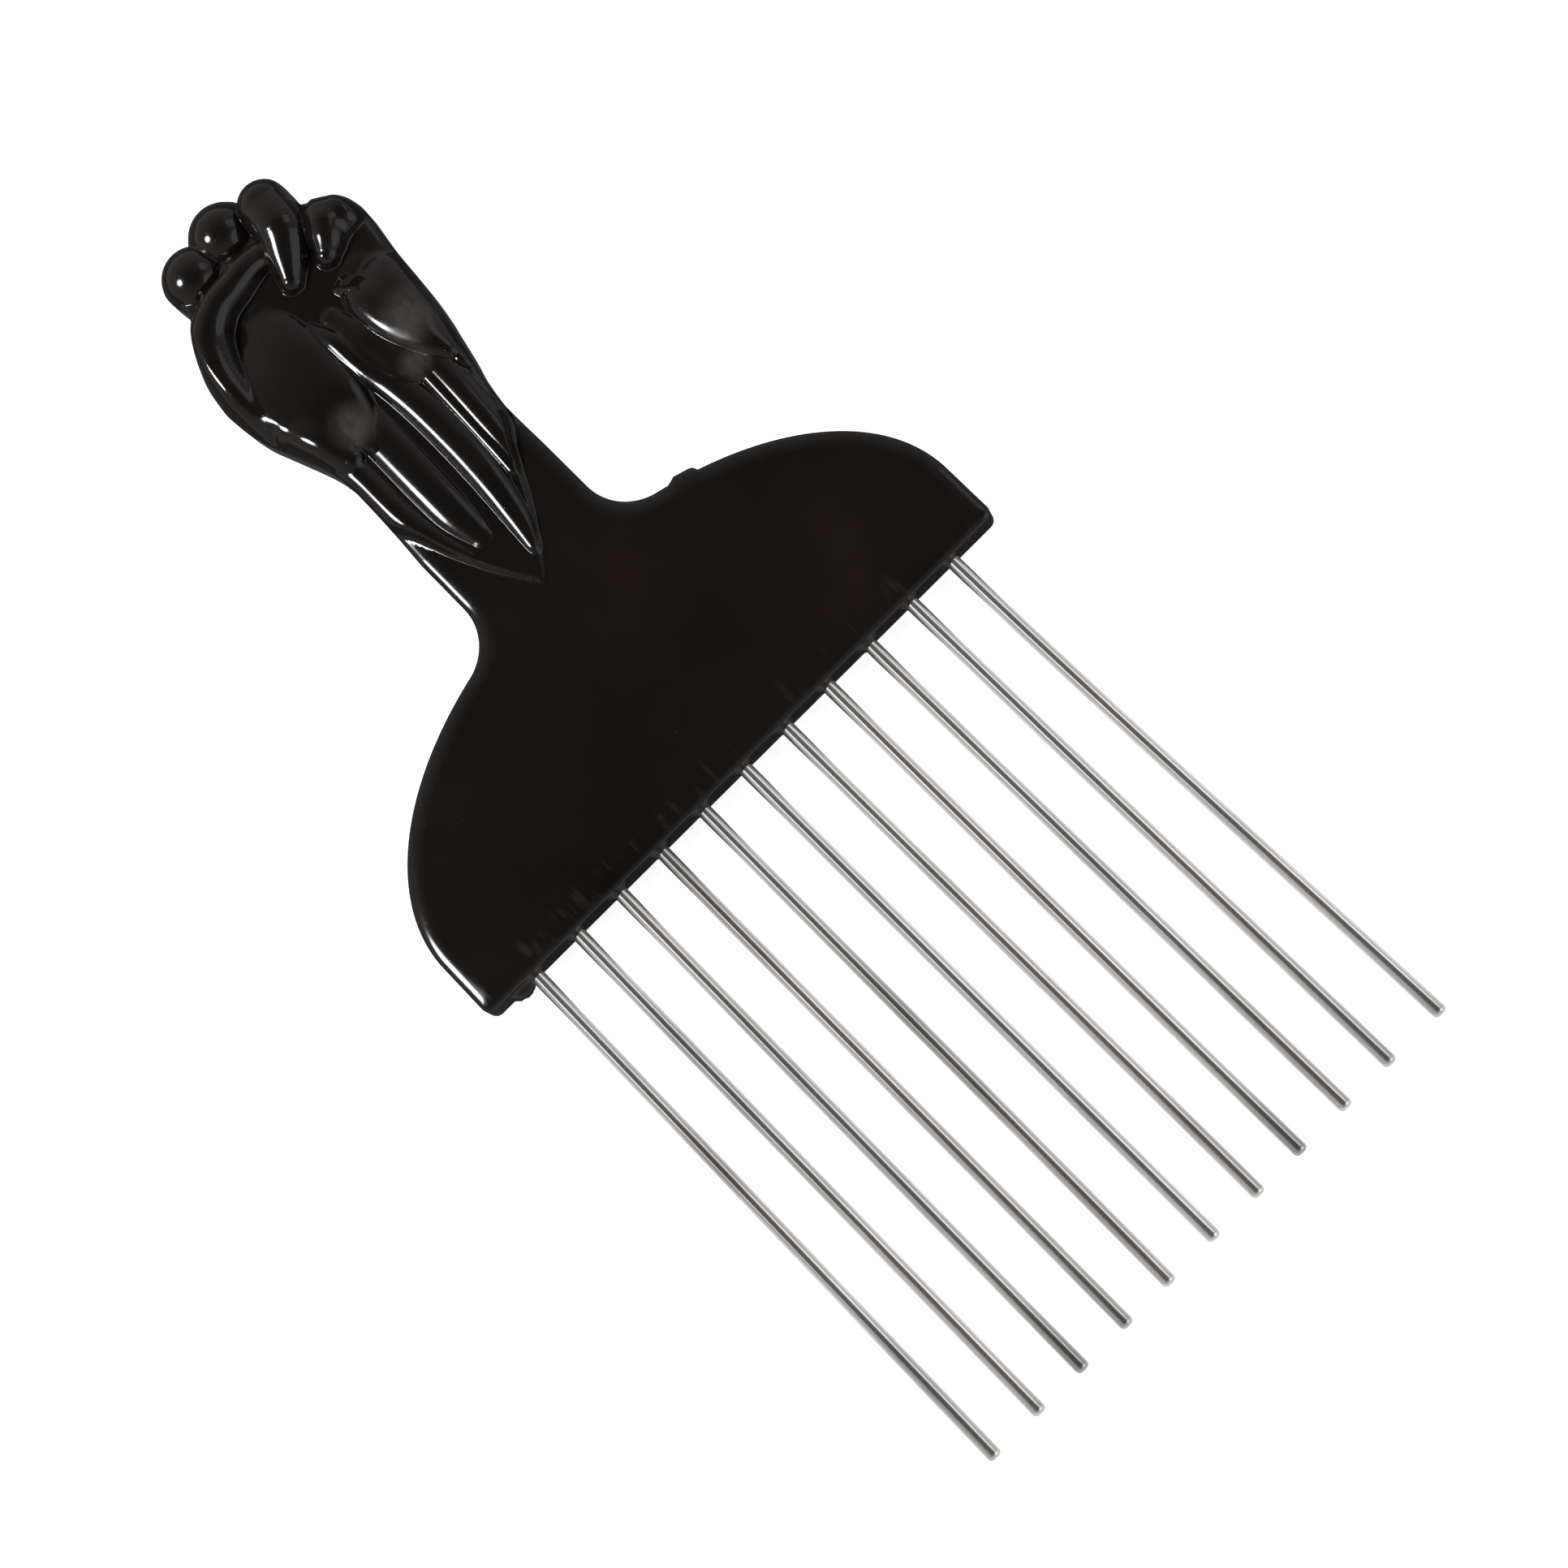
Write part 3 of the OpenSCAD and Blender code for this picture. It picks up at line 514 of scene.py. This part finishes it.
def meeting_turn():
    """Where the shoulder meets the neck's fillet."""
    low, high = np.radians(MEETING_RANGE)
    for _ in range(HALVINGS):
        turn = (low + high) / 2
        reach = dome_point(turn)[0] + NECK_FILLET * dome_normal(turn)[0]
        low, high = (turn, high) if reach > NECK_HALF + NECK_FILLET else (low, turn)
    return turn


fillet_at = meeting_turn()
fillet_centre = dome_point(fillet_at) + NECK_FILLET * dome_normal(fillet_at)


def head_rows():
    """Outline points and their inner mates across the rim, up the right side."""
    corner = np.radians(90) * np.arange(CORNER_ROWS + 1) / CORNER_ROWS
    swing = np.column_stack([1 - np.sin(corner), 1 - np.cos(corner)]) * [-1, 1]
    outer = [[HEAD_HALF, 0] + CORNER_ROUNDING * swing]
    inner = [[HEAD_HALF - RIM_WIDTH, RIM_WIDTH] + INNER_CORNER * swing]
    rise = np.arange(1, SIDE_ROWS) / SIDE_ROWS
    sides = [(outer, 0, CORNER_ROUNDING), (inner, RIM_WIDTH, RIM_WIDTH + INNER_CORNER)]
    for rows, inset, start in sides:
        rows.append(np.column_stack([
            np.full(len(rise), HEAD_HALF - inset), start + (SIDE_HEIGHT - start) * rise]))
    turns = fillet_at * np.arange(DOME_ROWS + 1) / DOME_ROWS
    points = np.array([dome_point(t) for t in turns])
    normals = np.array([dome_normal(t) for t in turns])
    outer.append(points)
    inner.append(points - RIM_WIDTH * normals)
    start = atan2(*dome_normal(fillet_at)[::-1])
    turns = start * (1 - np.arange(1, FILLET_ROWS + 1) / FILLET_ROWS)
    swing = np.column_stack([np.cos(turns), np.sin(turns)])
    outer.append(fillet_centre - NECK_FILLET * swing)
    inner.append(fillet_centre - (NECK_FILLET + RIM_WIDTH) * swing)
    return np.vstack(outer), np.vstack(inner)


def with_gate(outer):
    """The right side of the outline, with the gate's stub on the shoulder."""
    step = np.gradient(outer, axis=0)
    outward = np.column_stack([step[:, 1], -step[:, 0]]) / np.hypot(*step.T)[:, None]
    on_shoulder = (outer[:, 1] > SIDE_HEIGHT) & (outer[:, 1] < fillet_centre[1])
    off = np.abs(outer[:, 0] - GATE["x"]) - GATE["half_width"]
    share = np.where(on_shoulder, 1 - ease(off / GATE["softness"] + 0.5), 0)
    return outer + outward * (GATE["height"] * share)[:, None]


# Rows of the handle's front, from the lower edge to the knuckles

def knuckle_points(shares, left, right, centre):
    """Where rays from the centre of the sweep leave the three knuckles."""
    balls = np.array([first_knuckle[0], top_knuckle[0], middle_finger[0]])
    from_left, from_right = (np.arctan2(*(p - centre)[::-1]) for p in (left, right))
    turns = from_left + (from_right - from_left) * shares
    rays = np.stack([np.cos(turns), np.sin(turns)], -1)
    offset = balls[:, :2] - centre
    along = rays @ offset.T
    inside = balls[:, 2] ** 2 - ((offset ** 2).sum(1) - along ** 2)
    reach = np.where(inside < 0, 0, along + np.sqrt(np.maximum(inside, 0))).max(-1)
    points = centre + rays * reach[..., None]
    points[shares <= 0] = left
    points[shares >= 1] = right
    return points


def front_places():
    """X and Y of every point of the front: rows from the lower edge up, columns left to right."""
    outer, inner = head_rows()
    mirror = np.array([-1, 1])
    left_side = along_arm(left_side_shares, NECK_HALF, OVERHANG)
    right_side = along_arm(right_side_shares, NECK_HALF, OVERHANG)
    neck_end = fillet_centre[1]

    def side(y, table, first):
        """The neck runs straight up to the hand's first point."""
        return np.where(y < arm_y(first), NECK_HALF, table(y))

    crowded = 1 - (1 - np.arange(1, HAND_ROWS + 1) / HAND_ROWS) ** ROW_CROWDING
    straight = neck_end + (arm_y(WRIST) - neck_end) * np.arange(1, ARM_ROWS + 1) / ARM_ROWS
    ys = np.concatenate([straight, arm_y(WRIST) + (arm_y(HAND_TOP) - arm_y(WRIST)) * crowded])
    bends = np.concatenate([np.zeros(len(outer) + ARM_ROWS), crowded])
    lefts = -side(ys, left_side, left_side_shares[0][0])
    rights = side(ys, right_side, right_side_shares[0][0])
    edge = front_edge(ys)
    p_left = np.vstack([outer * mirror, np.column_stack([lefts, ys])])
    p_right = np.vstack([with_gate(outer), np.column_stack([rights, ys])])
    q_left = np.vstack([inner * mirror, np.column_stack([lefts + edge, ys])])
    q_right = np.vstack([inner, np.column_stack([rights - edge, ys])])

    rim = RIM_SHARES[None, :, None]
    left_rim = p_left[:, None] + (q_left - p_left)[:, None] * rim
    right_rim = (p_right[:, None] + (q_right - p_right)[:, None] * rim)[:, ::-1]
    even = np.arange(1, INNER_COLUMNS + 1) / (INNER_COLUMNS + 1)
    crowd = (head_columns - q_left[0, 0]) / (q_right[0, 0] - q_left[0, 0])
    evening = ease((q_left[:, 1] - CROWD_END) / CROWD_FADE)[:, None]
    shares = crowd + (even - crowd) * evening
    middle = q_left[:, None] + (q_right - q_left)[:, None] * shares[..., None]
    places = np.concatenate([left_rim, middle, right_rim], 1)

    left, right = p_left[-1], p_right[-1]
    centre = np.array([sweep_centre_shares[0] * HAND_WIDTH, arm_y(sweep_centre_shares[1])])
    share = (places[..., 0] - p_left[:, None, 0]) / (p_right - p_left)[:, None, 0]
    chord = left + (right - left) * share[..., None]
    bend = bends[:, None, None] ** BEND_LATENESS
    return places + bend * (knuckle_points(share, left, right, centre) - chord)


def front_heights(places):
    """Z of every point of the front, with the rim falling to the wall on both sides."""
    x, y = places[..., 0], places[..., 1]
    lift = np.ones(places.shape[1])
    lift[:RIM_STEPS + 1] = quarter_round(RIM_SHARES)
    lift[::-1][:RIM_STEPS + 1] = quarter_round(RIM_SHARES)
    lift = np.tile(lift, (len(places), 1))
    lift[-1] = 0
    wall = wall_height(y)
    return wall + (relief_height(x, y) + swelling(x, y) - wall) * lift


def swelling(x, y):
    """Height of the faint swellings over the sockets, near the lower edge."""
    height = np.zeros(x.shape)
    fade = 1 - ease(y / SWELLING["length"])
    for at, size in zip(tine_xs, swelling_sizes):
        height += size * SWELLING["height"] * bump((x - at) / (2 * SWELLING["half_width"]))
    return height * fade


def edge_drop(x, z):
    """How far the lower edge hangs down: drips round the wires, and the flap of flash."""
    drop = np.zeros(x.shape)
    for at, (left, right) in zip(tine_xs, drip_sizes):
        off = np.hypot(x - at, z - tine_z)
        side = ease((x - at) / (2 * tine_radius) + 0.5)
        depth = DRIP["depth"] * (left + (right - left) * side)
        reach = np.maximum(off - tine_radius, 0) / DRIP["reach"]
        spread = bump(off / (DRIP["spread"] * tine_radius))
        drop = np.maximum(drop, depth * np.exp(-reach) * spread)
    across = bump((x - FLASH["x"]) / FLASH["half_width"])
    upwards = bump((z - FLASH["z"]) / FLASH["half_height"])
    return drop + FLASH["depth"] * ease(2 * across * upwards)


def handle_mesh():
    """Points and faces of the whole handle: front, lower rim, walls, back rim and back."""
    places = front_places()
    heights = front_heights(places)
    rows, width = heights.shape
    points = [np.dstack([places, heights]).reshape(-1, 3)]
    front = np.arange(rows * width).reshape(rows, width)
    faces = []

    def add(new):
        """Adds points and returns their numbers in the same arrangement."""
        first = sum(len(p) for p in points)
        points.append(new.reshape(-1, 3))
        return first + np.arange(points[-1].shape[0]).reshape(new.shape[:-1])

    def add_grid(ids):
        """Quads between the rows of an array of point numbers."""
        a, b, c, d = ids[:-1, :-1], ids[:-1, 1:], ids[1:, 1:], ids[1:, :-1]
        faces.extend(np.stack([a, b, c, d], -1).reshape(-1, 4).tolist())

    add_grid(front)

    # The rim along the lower edge, between the rims of the two lower corners.
    lower_y = RIM_WIDTH * RIM_SHARES[:-1, None] * np.ones(INNER_COLUMNS)
    lower_x = head_columns * np.ones((RIM_STEPS, 1))
    lift = quarter_round(RIM_SHARES[:-1, None])
    lower_z = WALL_START + (RIM_ROUNDING + swelling(lower_x, lower_y)) * lift
    strip = add(np.dstack([lower_x, lower_y, lower_z]))
    strip = np.hstack([
        front[0, :RIM_STEPS, None], strip, front[0, ::-1][:RIM_STEPS, None]])
    add_grid(np.vstack([strip, front[0, RIM_STEPS:width - RIM_STEPS]]))

    # The outline, clockwise from the lower left corner.
    edge = strip[0, ::-1]
    loop = np.concatenate([front[:, 0], front[-1, 1:-1], front[::-1, -1], edge[1:-1]])
    top = np.vstack(points)[loop]
    step = np.roll(top, -1, 0) - np.roll(top, 1, 0)
    inward = np.column_stack([step[:, 1], -step[:, 0], np.zeros(len(step))])
    inward /= np.linalg.norm(inward, axis=1)[:, None]
    rounding = back_rounding(top[:, 1])
    rings = []
    for share in 1 - np.cos(np.linspace(0, np.pi / 2, BACK_STEPS + 1)):
        ring = top + inward * (rounding * share)[:, None]
        ring[:, 2] = rounding * (1 - quarter_round(share))
        rings.append(ring)
    rings = add(np.array(rings))
    add_grid(np.hstack([rings, rings[:, :1]]))
    faces.append(rings[-1].tolist())

    # The lower edge, with what hangs from it, and plain walls round the rest.
    right_end = len(loop) - len(edge) + 1
    lower = [*range(right_end, len(loop)), 0]
    known = np.vstack(points)
    down = (np.arange(1, WALL_STEPS) / WALL_STEPS)[:, None, None]
    wall = known[loop[lower]] + (known[rings[0][lower]] - known[loop[lower]]) * down
    wall[..., 1] -= edge_drop(wall[..., 0], wall[..., 2])
    wall = add(wall)
    add_grid(np.vstack([loop[lower], wall, rings[0][lower]]))
    for m in range(right_end):
        near = wall[::-1, -1] if m == 0 else []
        far = wall[:, 0] if m == right_end - 1 else []
        faces.append([loop[m], loop[m + 1], *far, rings[0][m + 1], rings[0][m], *near])
    return np.vstack(points), [[int(v) for v in face] for face in faces]


# Tines

def wire_mesh(low, high, lean, bow):
    """A drawn wire from its rounded tip to its end in the socket, a little bent."""
    middle = (low + high) / 2
    length = high[1] - low[1]
    turn = np.linspace(0, np.pi / 2, TIP_RINGS)
    radii = np.concatenate([
        tine_radius - TIP_ROUNDING * (1 - np.sin(turn)), np.full(WIRE_RINGS, tine_radius)])
    tip = TIP_ROUNDING * (1 - np.cos(turn))
    along = np.concatenate([tip, np.linspace(TIP_ROUNDING, length, WIRE_RINGS + 1)[1:]])
    free = np.clip((length - SOCKET_DEPTH - along) / (length - SOCKET_DEPTH), 0, 1)
    shift = lean * free ** 2 + bow * 4 * free * (1 - free) * free
    around = 2 * np.pi * np.arange(WIRE_SIDES) / WIRE_SIDES
    x = middle[0] + shift[:, None] + radii[:, None] * np.cos(around)
    z = middle[2] + radii[:, None] * np.sin(around)
    y = low[1] + along[:, None] * np.ones(WIRE_SIDES)
    points = np.dstack([x, y, z]).reshape(-1, 3)
    ids = np.arange(len(points)).reshape(len(along), WIRE_SIDES)
    closed = np.hstack([ids, ids[:, :1]])
    faces = np.stack([closed[:-1, :-1], closed[1:, :-1], closed[1:, 1:], closed[:-1, 1:]], -1)
    ends = [ids[0].tolist(), ids[-1, ::-1].tolist()]
    return points, faces.reshape(-1, 4).tolist() + ends


# Objects

def add_object(name, points, faces, material):
    """A new mesh in the scene, from points in metres."""
    mesh = bpy.data.meshes.new(name)
    mesh.from_pydata(points.tolist(), [], faces)
    mesh.materials.append(material)
    thing = bpy.data.objects.new(name, mesh)
    bpy.context.scene.collection.objects.link(thing)
    return thing


def add_piece(name, points, faces, material, stands_for):
    """A smooth piece of the part in place of a CAD solid, from points in millimetres."""
    piece = add_object(name, points * MM, faces, material)
    piece.data.shade_smooth()
    piece.data.update()
    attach(piece, "root")
    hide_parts(stands_for)
    return piece


# Materials

class Shader:
    """A node material with a Principled surface."""

    def __init__(self, name):
        self.material = bpy.data.materials.new(name)
        self.material.use_nodes = True
        self.nodes = self.material.node_tree.nodes
        self.links = self.material.node_tree.links
        self.surface = self.nodes["Principled BSDF"]
        self.place = self.nodes.new("ShaderNodeTexCoord").outputs["Object"]

    def set(self, **values):
        for socket, value in values.items():
            self.surface.inputs[socket.replace("_", " ")].default_value = value

    def noise(self, scale, detail, stretch=(1, 1, 1)):
        """Noise over the object. The scale is in features per metre."""
        mapping = self.nodes.new("ShaderNodeMapping")
        mapping.inputs["Scale"].default_value = stretch
        texture = self.nodes.new("ShaderNodeTexNoise")
        texture.inputs["Scale"].default_value = scale
        texture.inputs["Detail"].default_value = detail
        self.links.new(self.place, mapping.inputs["Vector"])
        self.links.new(mapping.outputs["Vector"], texture.inputs["Vector"])
        return texture.outputs["Fac"]

    def ramp(self, value, stops):
        """A ramp from value, with stops of (place, colour or number)."""
        ramp = self.nodes.new("ShaderNodeValToRGB")
        elements = ramp.color_ramp.elements
        while len(elements) < len(stops):
            elements.new(0.5)
        for element, (place, colour) in zip(elements, stops):
            colour = (colour,) * 3 if isinstance(colour, (int, float)) else colour
            element.position = place
            element.color = (*colour, 1)
        self.links.new(value, ramp.inputs["Fac"])
        return ramp.outputs["Color"]

    def math(self, operation, a, b):
        """Result of a sum or the like on two values, each a socket or a number."""
        node = self.nodes.new("ShaderNodeMath")
        node.operation = operation
        for socket, value in zip(node.inputs, (a, b)):
            if isinstance(value, (int, float)):
                socket.default_value = value
            else:
                self.links.new(value, socket)
        return node.outputs[0]

    def coordinate(self, axis):
        """Where a point lies along one axis of the object, in metres."""
        split = self.nodes.new("ShaderNodeSeparateXYZ")
        self.links.new(self.place, split.inputs[0])
        return split.outputs[axis]

    def share_along_y(self, start, distance):
        """0 at a start along Y, 1 at a distance from it. Both are in millimetres."""
        way = self.math("SUBTRACT", self.coordinate("Y"), float(start * MM))
        return self.math("DIVIDE", way, distance * MM)

    def near(self, place, radius):
        """1 at a place, falling to 0 a radius away from it."""
        gap = self.nodes.new("ShaderNodeVectorMath")
        gap.operation = "DISTANCE"
        gap.inputs[1].default_value = place
        self.links.new(self.place, gap.inputs[0])
        return self.ramp(self.math("DIVIDE", gap.outputs["Value"], radius), FADE)

    def into(self, socket, value):
        self.links.new(value, self.surface.inputs[socket])

    def bump(self, value, depth, below=None):
        """Bump of a real depth in metres, over the bump below it."""
        bump = self.nodes.new("ShaderNodeBump")
        bump.inputs["Strength"].default_value = 1
        bump.inputs["Distance"].default_value = depth
        self.links.new(value, bump.inputs["Height"])
        if below:
            self.links.new(below, bump.inputs["Normal"])
        return bump.outputs["Normal"]


def black_plastic():
    """Glossy black moulding: warm black, uneven gloss, a trace of orange peel and dust, and a
    painted grey sheen on the dull places.
    """
    s = Shader("black_gloss_plastic")
    s.set(**PLASTIC)
    roughness = s.ramp(s.noise(*SMEAR), SMEAR_ROUGHNESS)
    cloud = s.ramp(s.noise(*DULL_AND_SHEEN_CLOUD), DULL_AND_SHEEN_SHARE)
    painted_sheen = 0
    # Each dull place is rougher, and its base colour is lifted to grey there as a painted sheen.
    for x, y, height, radius, dull_and_sheen in DULL_AND_SHEEN_PLACES:
        patch = s.near((x * MM, (y + EDGE_Y) * MM, height * MM), radius * MM)
        patch = s.math("MULTIPLY", s.math("MULTIPLY", patch, cloud), dull_and_sheen)
        roughness = s.math("MAXIMUM", roughness, patch)
        painted_sheen = s.math("MAXIMUM", painted_sheen, patch)
    tone = s.math("ADD", s.math("MULTIPLY", s.noise(*MOTTLE), MOTTLE_SHARE), painted_sheen)
    s.into("Base Color", s.ramp(tone, BLACKS))
    streak = s.ramp(s.noise(*STREAK), STREAK_EDGES)
    fading = s.ramp(s.share_along_y(EDGE_Y, STREAK_LENGTH), FADE)
    marks = s.math("MULTIPLY", s.math("MULTIPLY", streak, fading), STREAK_ROUGHNESS)
    s.into("Roughness", s.math("MAXIMUM", roughness, marks))
    peel = s.bump(s.noise(*PEEL), PEEL_DEPTH)
    dust = s.ramp(s.noise(*DUST), DUST_GRAINS)
    s.into("Normal", s.bump(dust, DUST_DEPTH, peel))
    return s.material


def drawn_steel():
    """Bright drawn wire: lines of drawing along it, greys in patches, and a base colour darker
    towards the tips."""
    s = Shader("drawn_steel")
    s.set(**STEEL)
    # The base colour is made darker over the last part towards the tips.
    near_tip = s.ramp(s.share_along_y(TIPS_Y, TIP_DARKENING_LENGTH), [(0, 1.0), (1, 0.0)])
    tip_darkening = s.math("MULTIPLY", near_tip, TIP_DARKENING)
    s.into("Base Color", s.ramp(s.math("SUBTRACT", s.noise(*PATCH), tip_darkening), STEELS))
    lines = s.noise(*DRAWING)
    s.into("Roughness", s.ramp(lines, DRAWING_ROUGHNESS))
    s.into("Normal", s.bump(lines, DRAWING_DEPTH))
    return s.material


# Stage

def studio_floor():
    """White floor that takes a faint shadow. The camera sees it lifted to white. To a mirror
    it is dark cloth beside the handle, and pale beside the wires. From below it is clear, so
    that the pick's back can be looked at."""
    s = Shader("floor_white")
    s.set(Roughness=FLOOR_ROUGHNESS, Specular_IOR_Level=0, Emission_Color=WHITE)
    path = s.nodes.new("ShaderNodeLightPath").outputs
    s.into("Base Color", s.ramp(path["Is Glossy Ray"], FLOOR_GREYS))
    seen = s.math("MULTIPLY", path["Is Camera Ray"], FLOOR_SEEN)
    glow = s.ramp(s.share_along_y(EDGE_Y, -FLOOR_CHANGE), FLOOR_MIRRORED)
    mirrored = s.math("MULTIPLY", path["Is Glossy Ray"], glow)
    s.into("Emission Strength", s.math("MAXIMUM", seen, mirrored))
    geometry = s.nodes.new("ShaderNodeNewGeometry")
    clear = s.nodes.new("ShaderNodeBsdfTransparent")
    one_sided = s.nodes.new("ShaderNodeMixShader")
    s.links.new(geometry.outputs["Backfacing"], one_sided.inputs[0])
    s.links.new(s.surface.outputs[0], one_sided.inputs[1])
    s.links.new(clear.outputs[0], one_sided.inputs[2])
    s.links.new(one_sided.outputs[0], s.nodes["Material Output"].inputs["Surface"])
    return s.material


def tent_cloth():
    """Dark cloth overhead that glows softly towards its foot. To the camera it is white."""
    s = Shader("tent_cloth")
    s.set(Base_Color=TENT_GREY, Roughness=1, Specular_IOR_Level=0, Emission_Color=WHITE)
    path = s.nodes.new("ShaderNodeLightPath").outputs
    glow = s.ramp(s.math("DIVIDE", s.coordinate("Z"), TENT_RADIUS), TENT_GLOW)
    s.into("Emission Strength", s.math("MAXIMUM", path["Is Camera Ray"], glow))
    return s.material


def stage_turns():
    """Angles round the stage."""
    return 2 * np.pi * np.arange(STAGE_SIDES) / STAGE_SIDES


def stage_floor():
    """A disc just under the pick."""
    turns = stage_turns()
    x, y = FLOOR_RADIUS * np.cos(turns), FLOOR_RADIUS * np.sin(turns)
    points = np.column_stack([x, y, np.full(STAGE_SIDES, -FLOOR_GAP)])
    disc = add_object("floor", points, [list(range(STAGE_SIDES))], studio_floor())
    return disc


def stage_tent():
    """Half a sphere over the stage, open towards the floor."""
    rise = np.linspace(TENT_GAP, np.pi / 2 - TENT_GAP, TENT_RINGS)[:, None]
    turns = stage_turns()
    points = TENT_RADIUS * np.dstack([
        np.cos(rise) * np.cos(turns), np.cos(rise) * np.sin(turns), np.sin(rise) + 0 * turns])
    ids = np.arange(TENT_RINGS * STAGE_SIDES).reshape(TENT_RINGS, STAGE_SIDES)
    top = ids[-1, ::-1].tolist()
    ids = np.hstack([ids, ids[:, :1]])
    faces = np.stack([ids[:-1, :-1], ids[1:, :-1], ids[1:, 1:], ids[:-1, 1:]], -1)
    faces = faces.reshape(-1, 4).tolist() + [top]
    tent = add_object("tent", points.reshape(-1, 3), faces, tent_cloth())


def soft_lamp(name, direction, half_angle, radiance, lit=()):
    """A round lamp that fills the given half angle, seen from the pick. It lights only
    the objects in lit, or all of them where none is named."""
    lamp = bpy.data.lights.new(name, "AREA")
    lamp.shape = "DISK"
    radius = LAMP_DISTANCE * tan(radians(half_angle))
    lamp.size = 2 * radius
    lamp.energy = radiance * np.pi * np.pi * radius ** 2
    towards = Vector(direction).normalized()
    light = bpy.data.objects.new(name, lamp)
    light.location = towards * LAMP_DISTANCE
    light.rotation_euler = towards.to_track_quat("Z", "Y").to_euler()
    bpy.context.scene.collection.objects.link(light)
    if lit:
        group = bpy.data.collections.new(name + "_lit")
        for piece in lit:
            group.objects.link(piece)
        light.light_linking.receiver_collection = group


def studio_world():
    """White to the camera and to mirrors, and weak as a light."""
    world = bpy.data.worlds.new("studio")
    bpy.context.scene.world = world
    world.use_nodes = True
    nodes, links = world.node_tree.nodes, world.node_tree.links
    nodes["Background"].inputs["Color"].default_value = WHITE
    path = nodes.new("ShaderNodeLightPath")
    seen = nodes.new("ShaderNodeMath")
    seen.operation = "MAXIMUM"
    strength = nodes.new("ShaderNodeMapRange")
    strength.inputs["To Min"].default_value = WORLD_LIGHT
    strength.inputs["To Max"].default_value = 1
    links.new(path.outputs["Is Camera Ray"], seen.inputs[0])
    links.new(path.outputs["Is Glossy Ray"], seen.inputs[1])
    links.new(seen.outputs[0], strength.inputs["Value"])
    links.new(strength.outputs["Result"], nodes["Background"].inputs["Strength"])


def photo_camera():
    """The photograph's view: tilted back over the tines, and turned to lie across the frame."""
    target = Vector(CAMERA_TARGET) * MM
    place = Vector(CAMERA_PLACE) * MM
    back = (place - target).normalized()
    level = Vector((1, 0, 0))
    level = (level - back * level.dot(back)).normalized()
    rise = back.cross(level)
    turn = radians(CAMERA_TURN)
    right = level * np.cos(turn) - rise * np.sin(turn)
    up = level * np.sin(turn) + rise * np.cos(turn)
    camera = bpy.data.objects.new("camera", bpy.data.cameras.new("camera"))
    camera.data.sensor_width = camera.data.sensor_height = SENSOR
    camera.data.lens = FOCAL_LENGTH
    camera.data.clip_end = CLIP_END
    facing = Matrix((right, up, back)).transposed().to_4x4()
    camera.matrix_world = Matrix.Translation(place) @ facing
    bpy.context.scene.collection.objects.link(camera)
    bpy.context.scene.camera = camera


plastic = black_plastic()
steel = drawn_steel()
handle_points, handle_faces = handle_mesh()
handle = add_piece(
    "moulded_handle", handle_points + [0, EDGE_Y, 0], handle_faces, plastic, "handle")
wires = []
for name, (low, high), (lean, bow) in zip(tine_names, tine_boxes, tine_bends):
    wire = add_piece(name.replace("tine", "wire"), *wire_mesh(low, high, lean, bow), steel, name)
    wires.append(wire)

floor = stage_floor()
stage_tent()
soft_lamp("key", KEY_DIRECTION, KEY_HALF_ANGLE, KEY_RADIANCE, [handle, floor])
soft_lamp("wire_key", KEY_DIRECTION, WIRE_HALF_ANGLE, WIRE_RADIANCE, wires)
soft_lamp("fill", FILL_DIRECTION, FILL_HALF_ANGLE, FILL_RADIANCE)
soft_lamp("strip", STRIP_DIRECTION, STRIP_HALF_ANGLE, STRIP_RADIANCE)
studio_world()
photo_camera()
bpy.context.scene.view_settings.view_transform = "Standard"
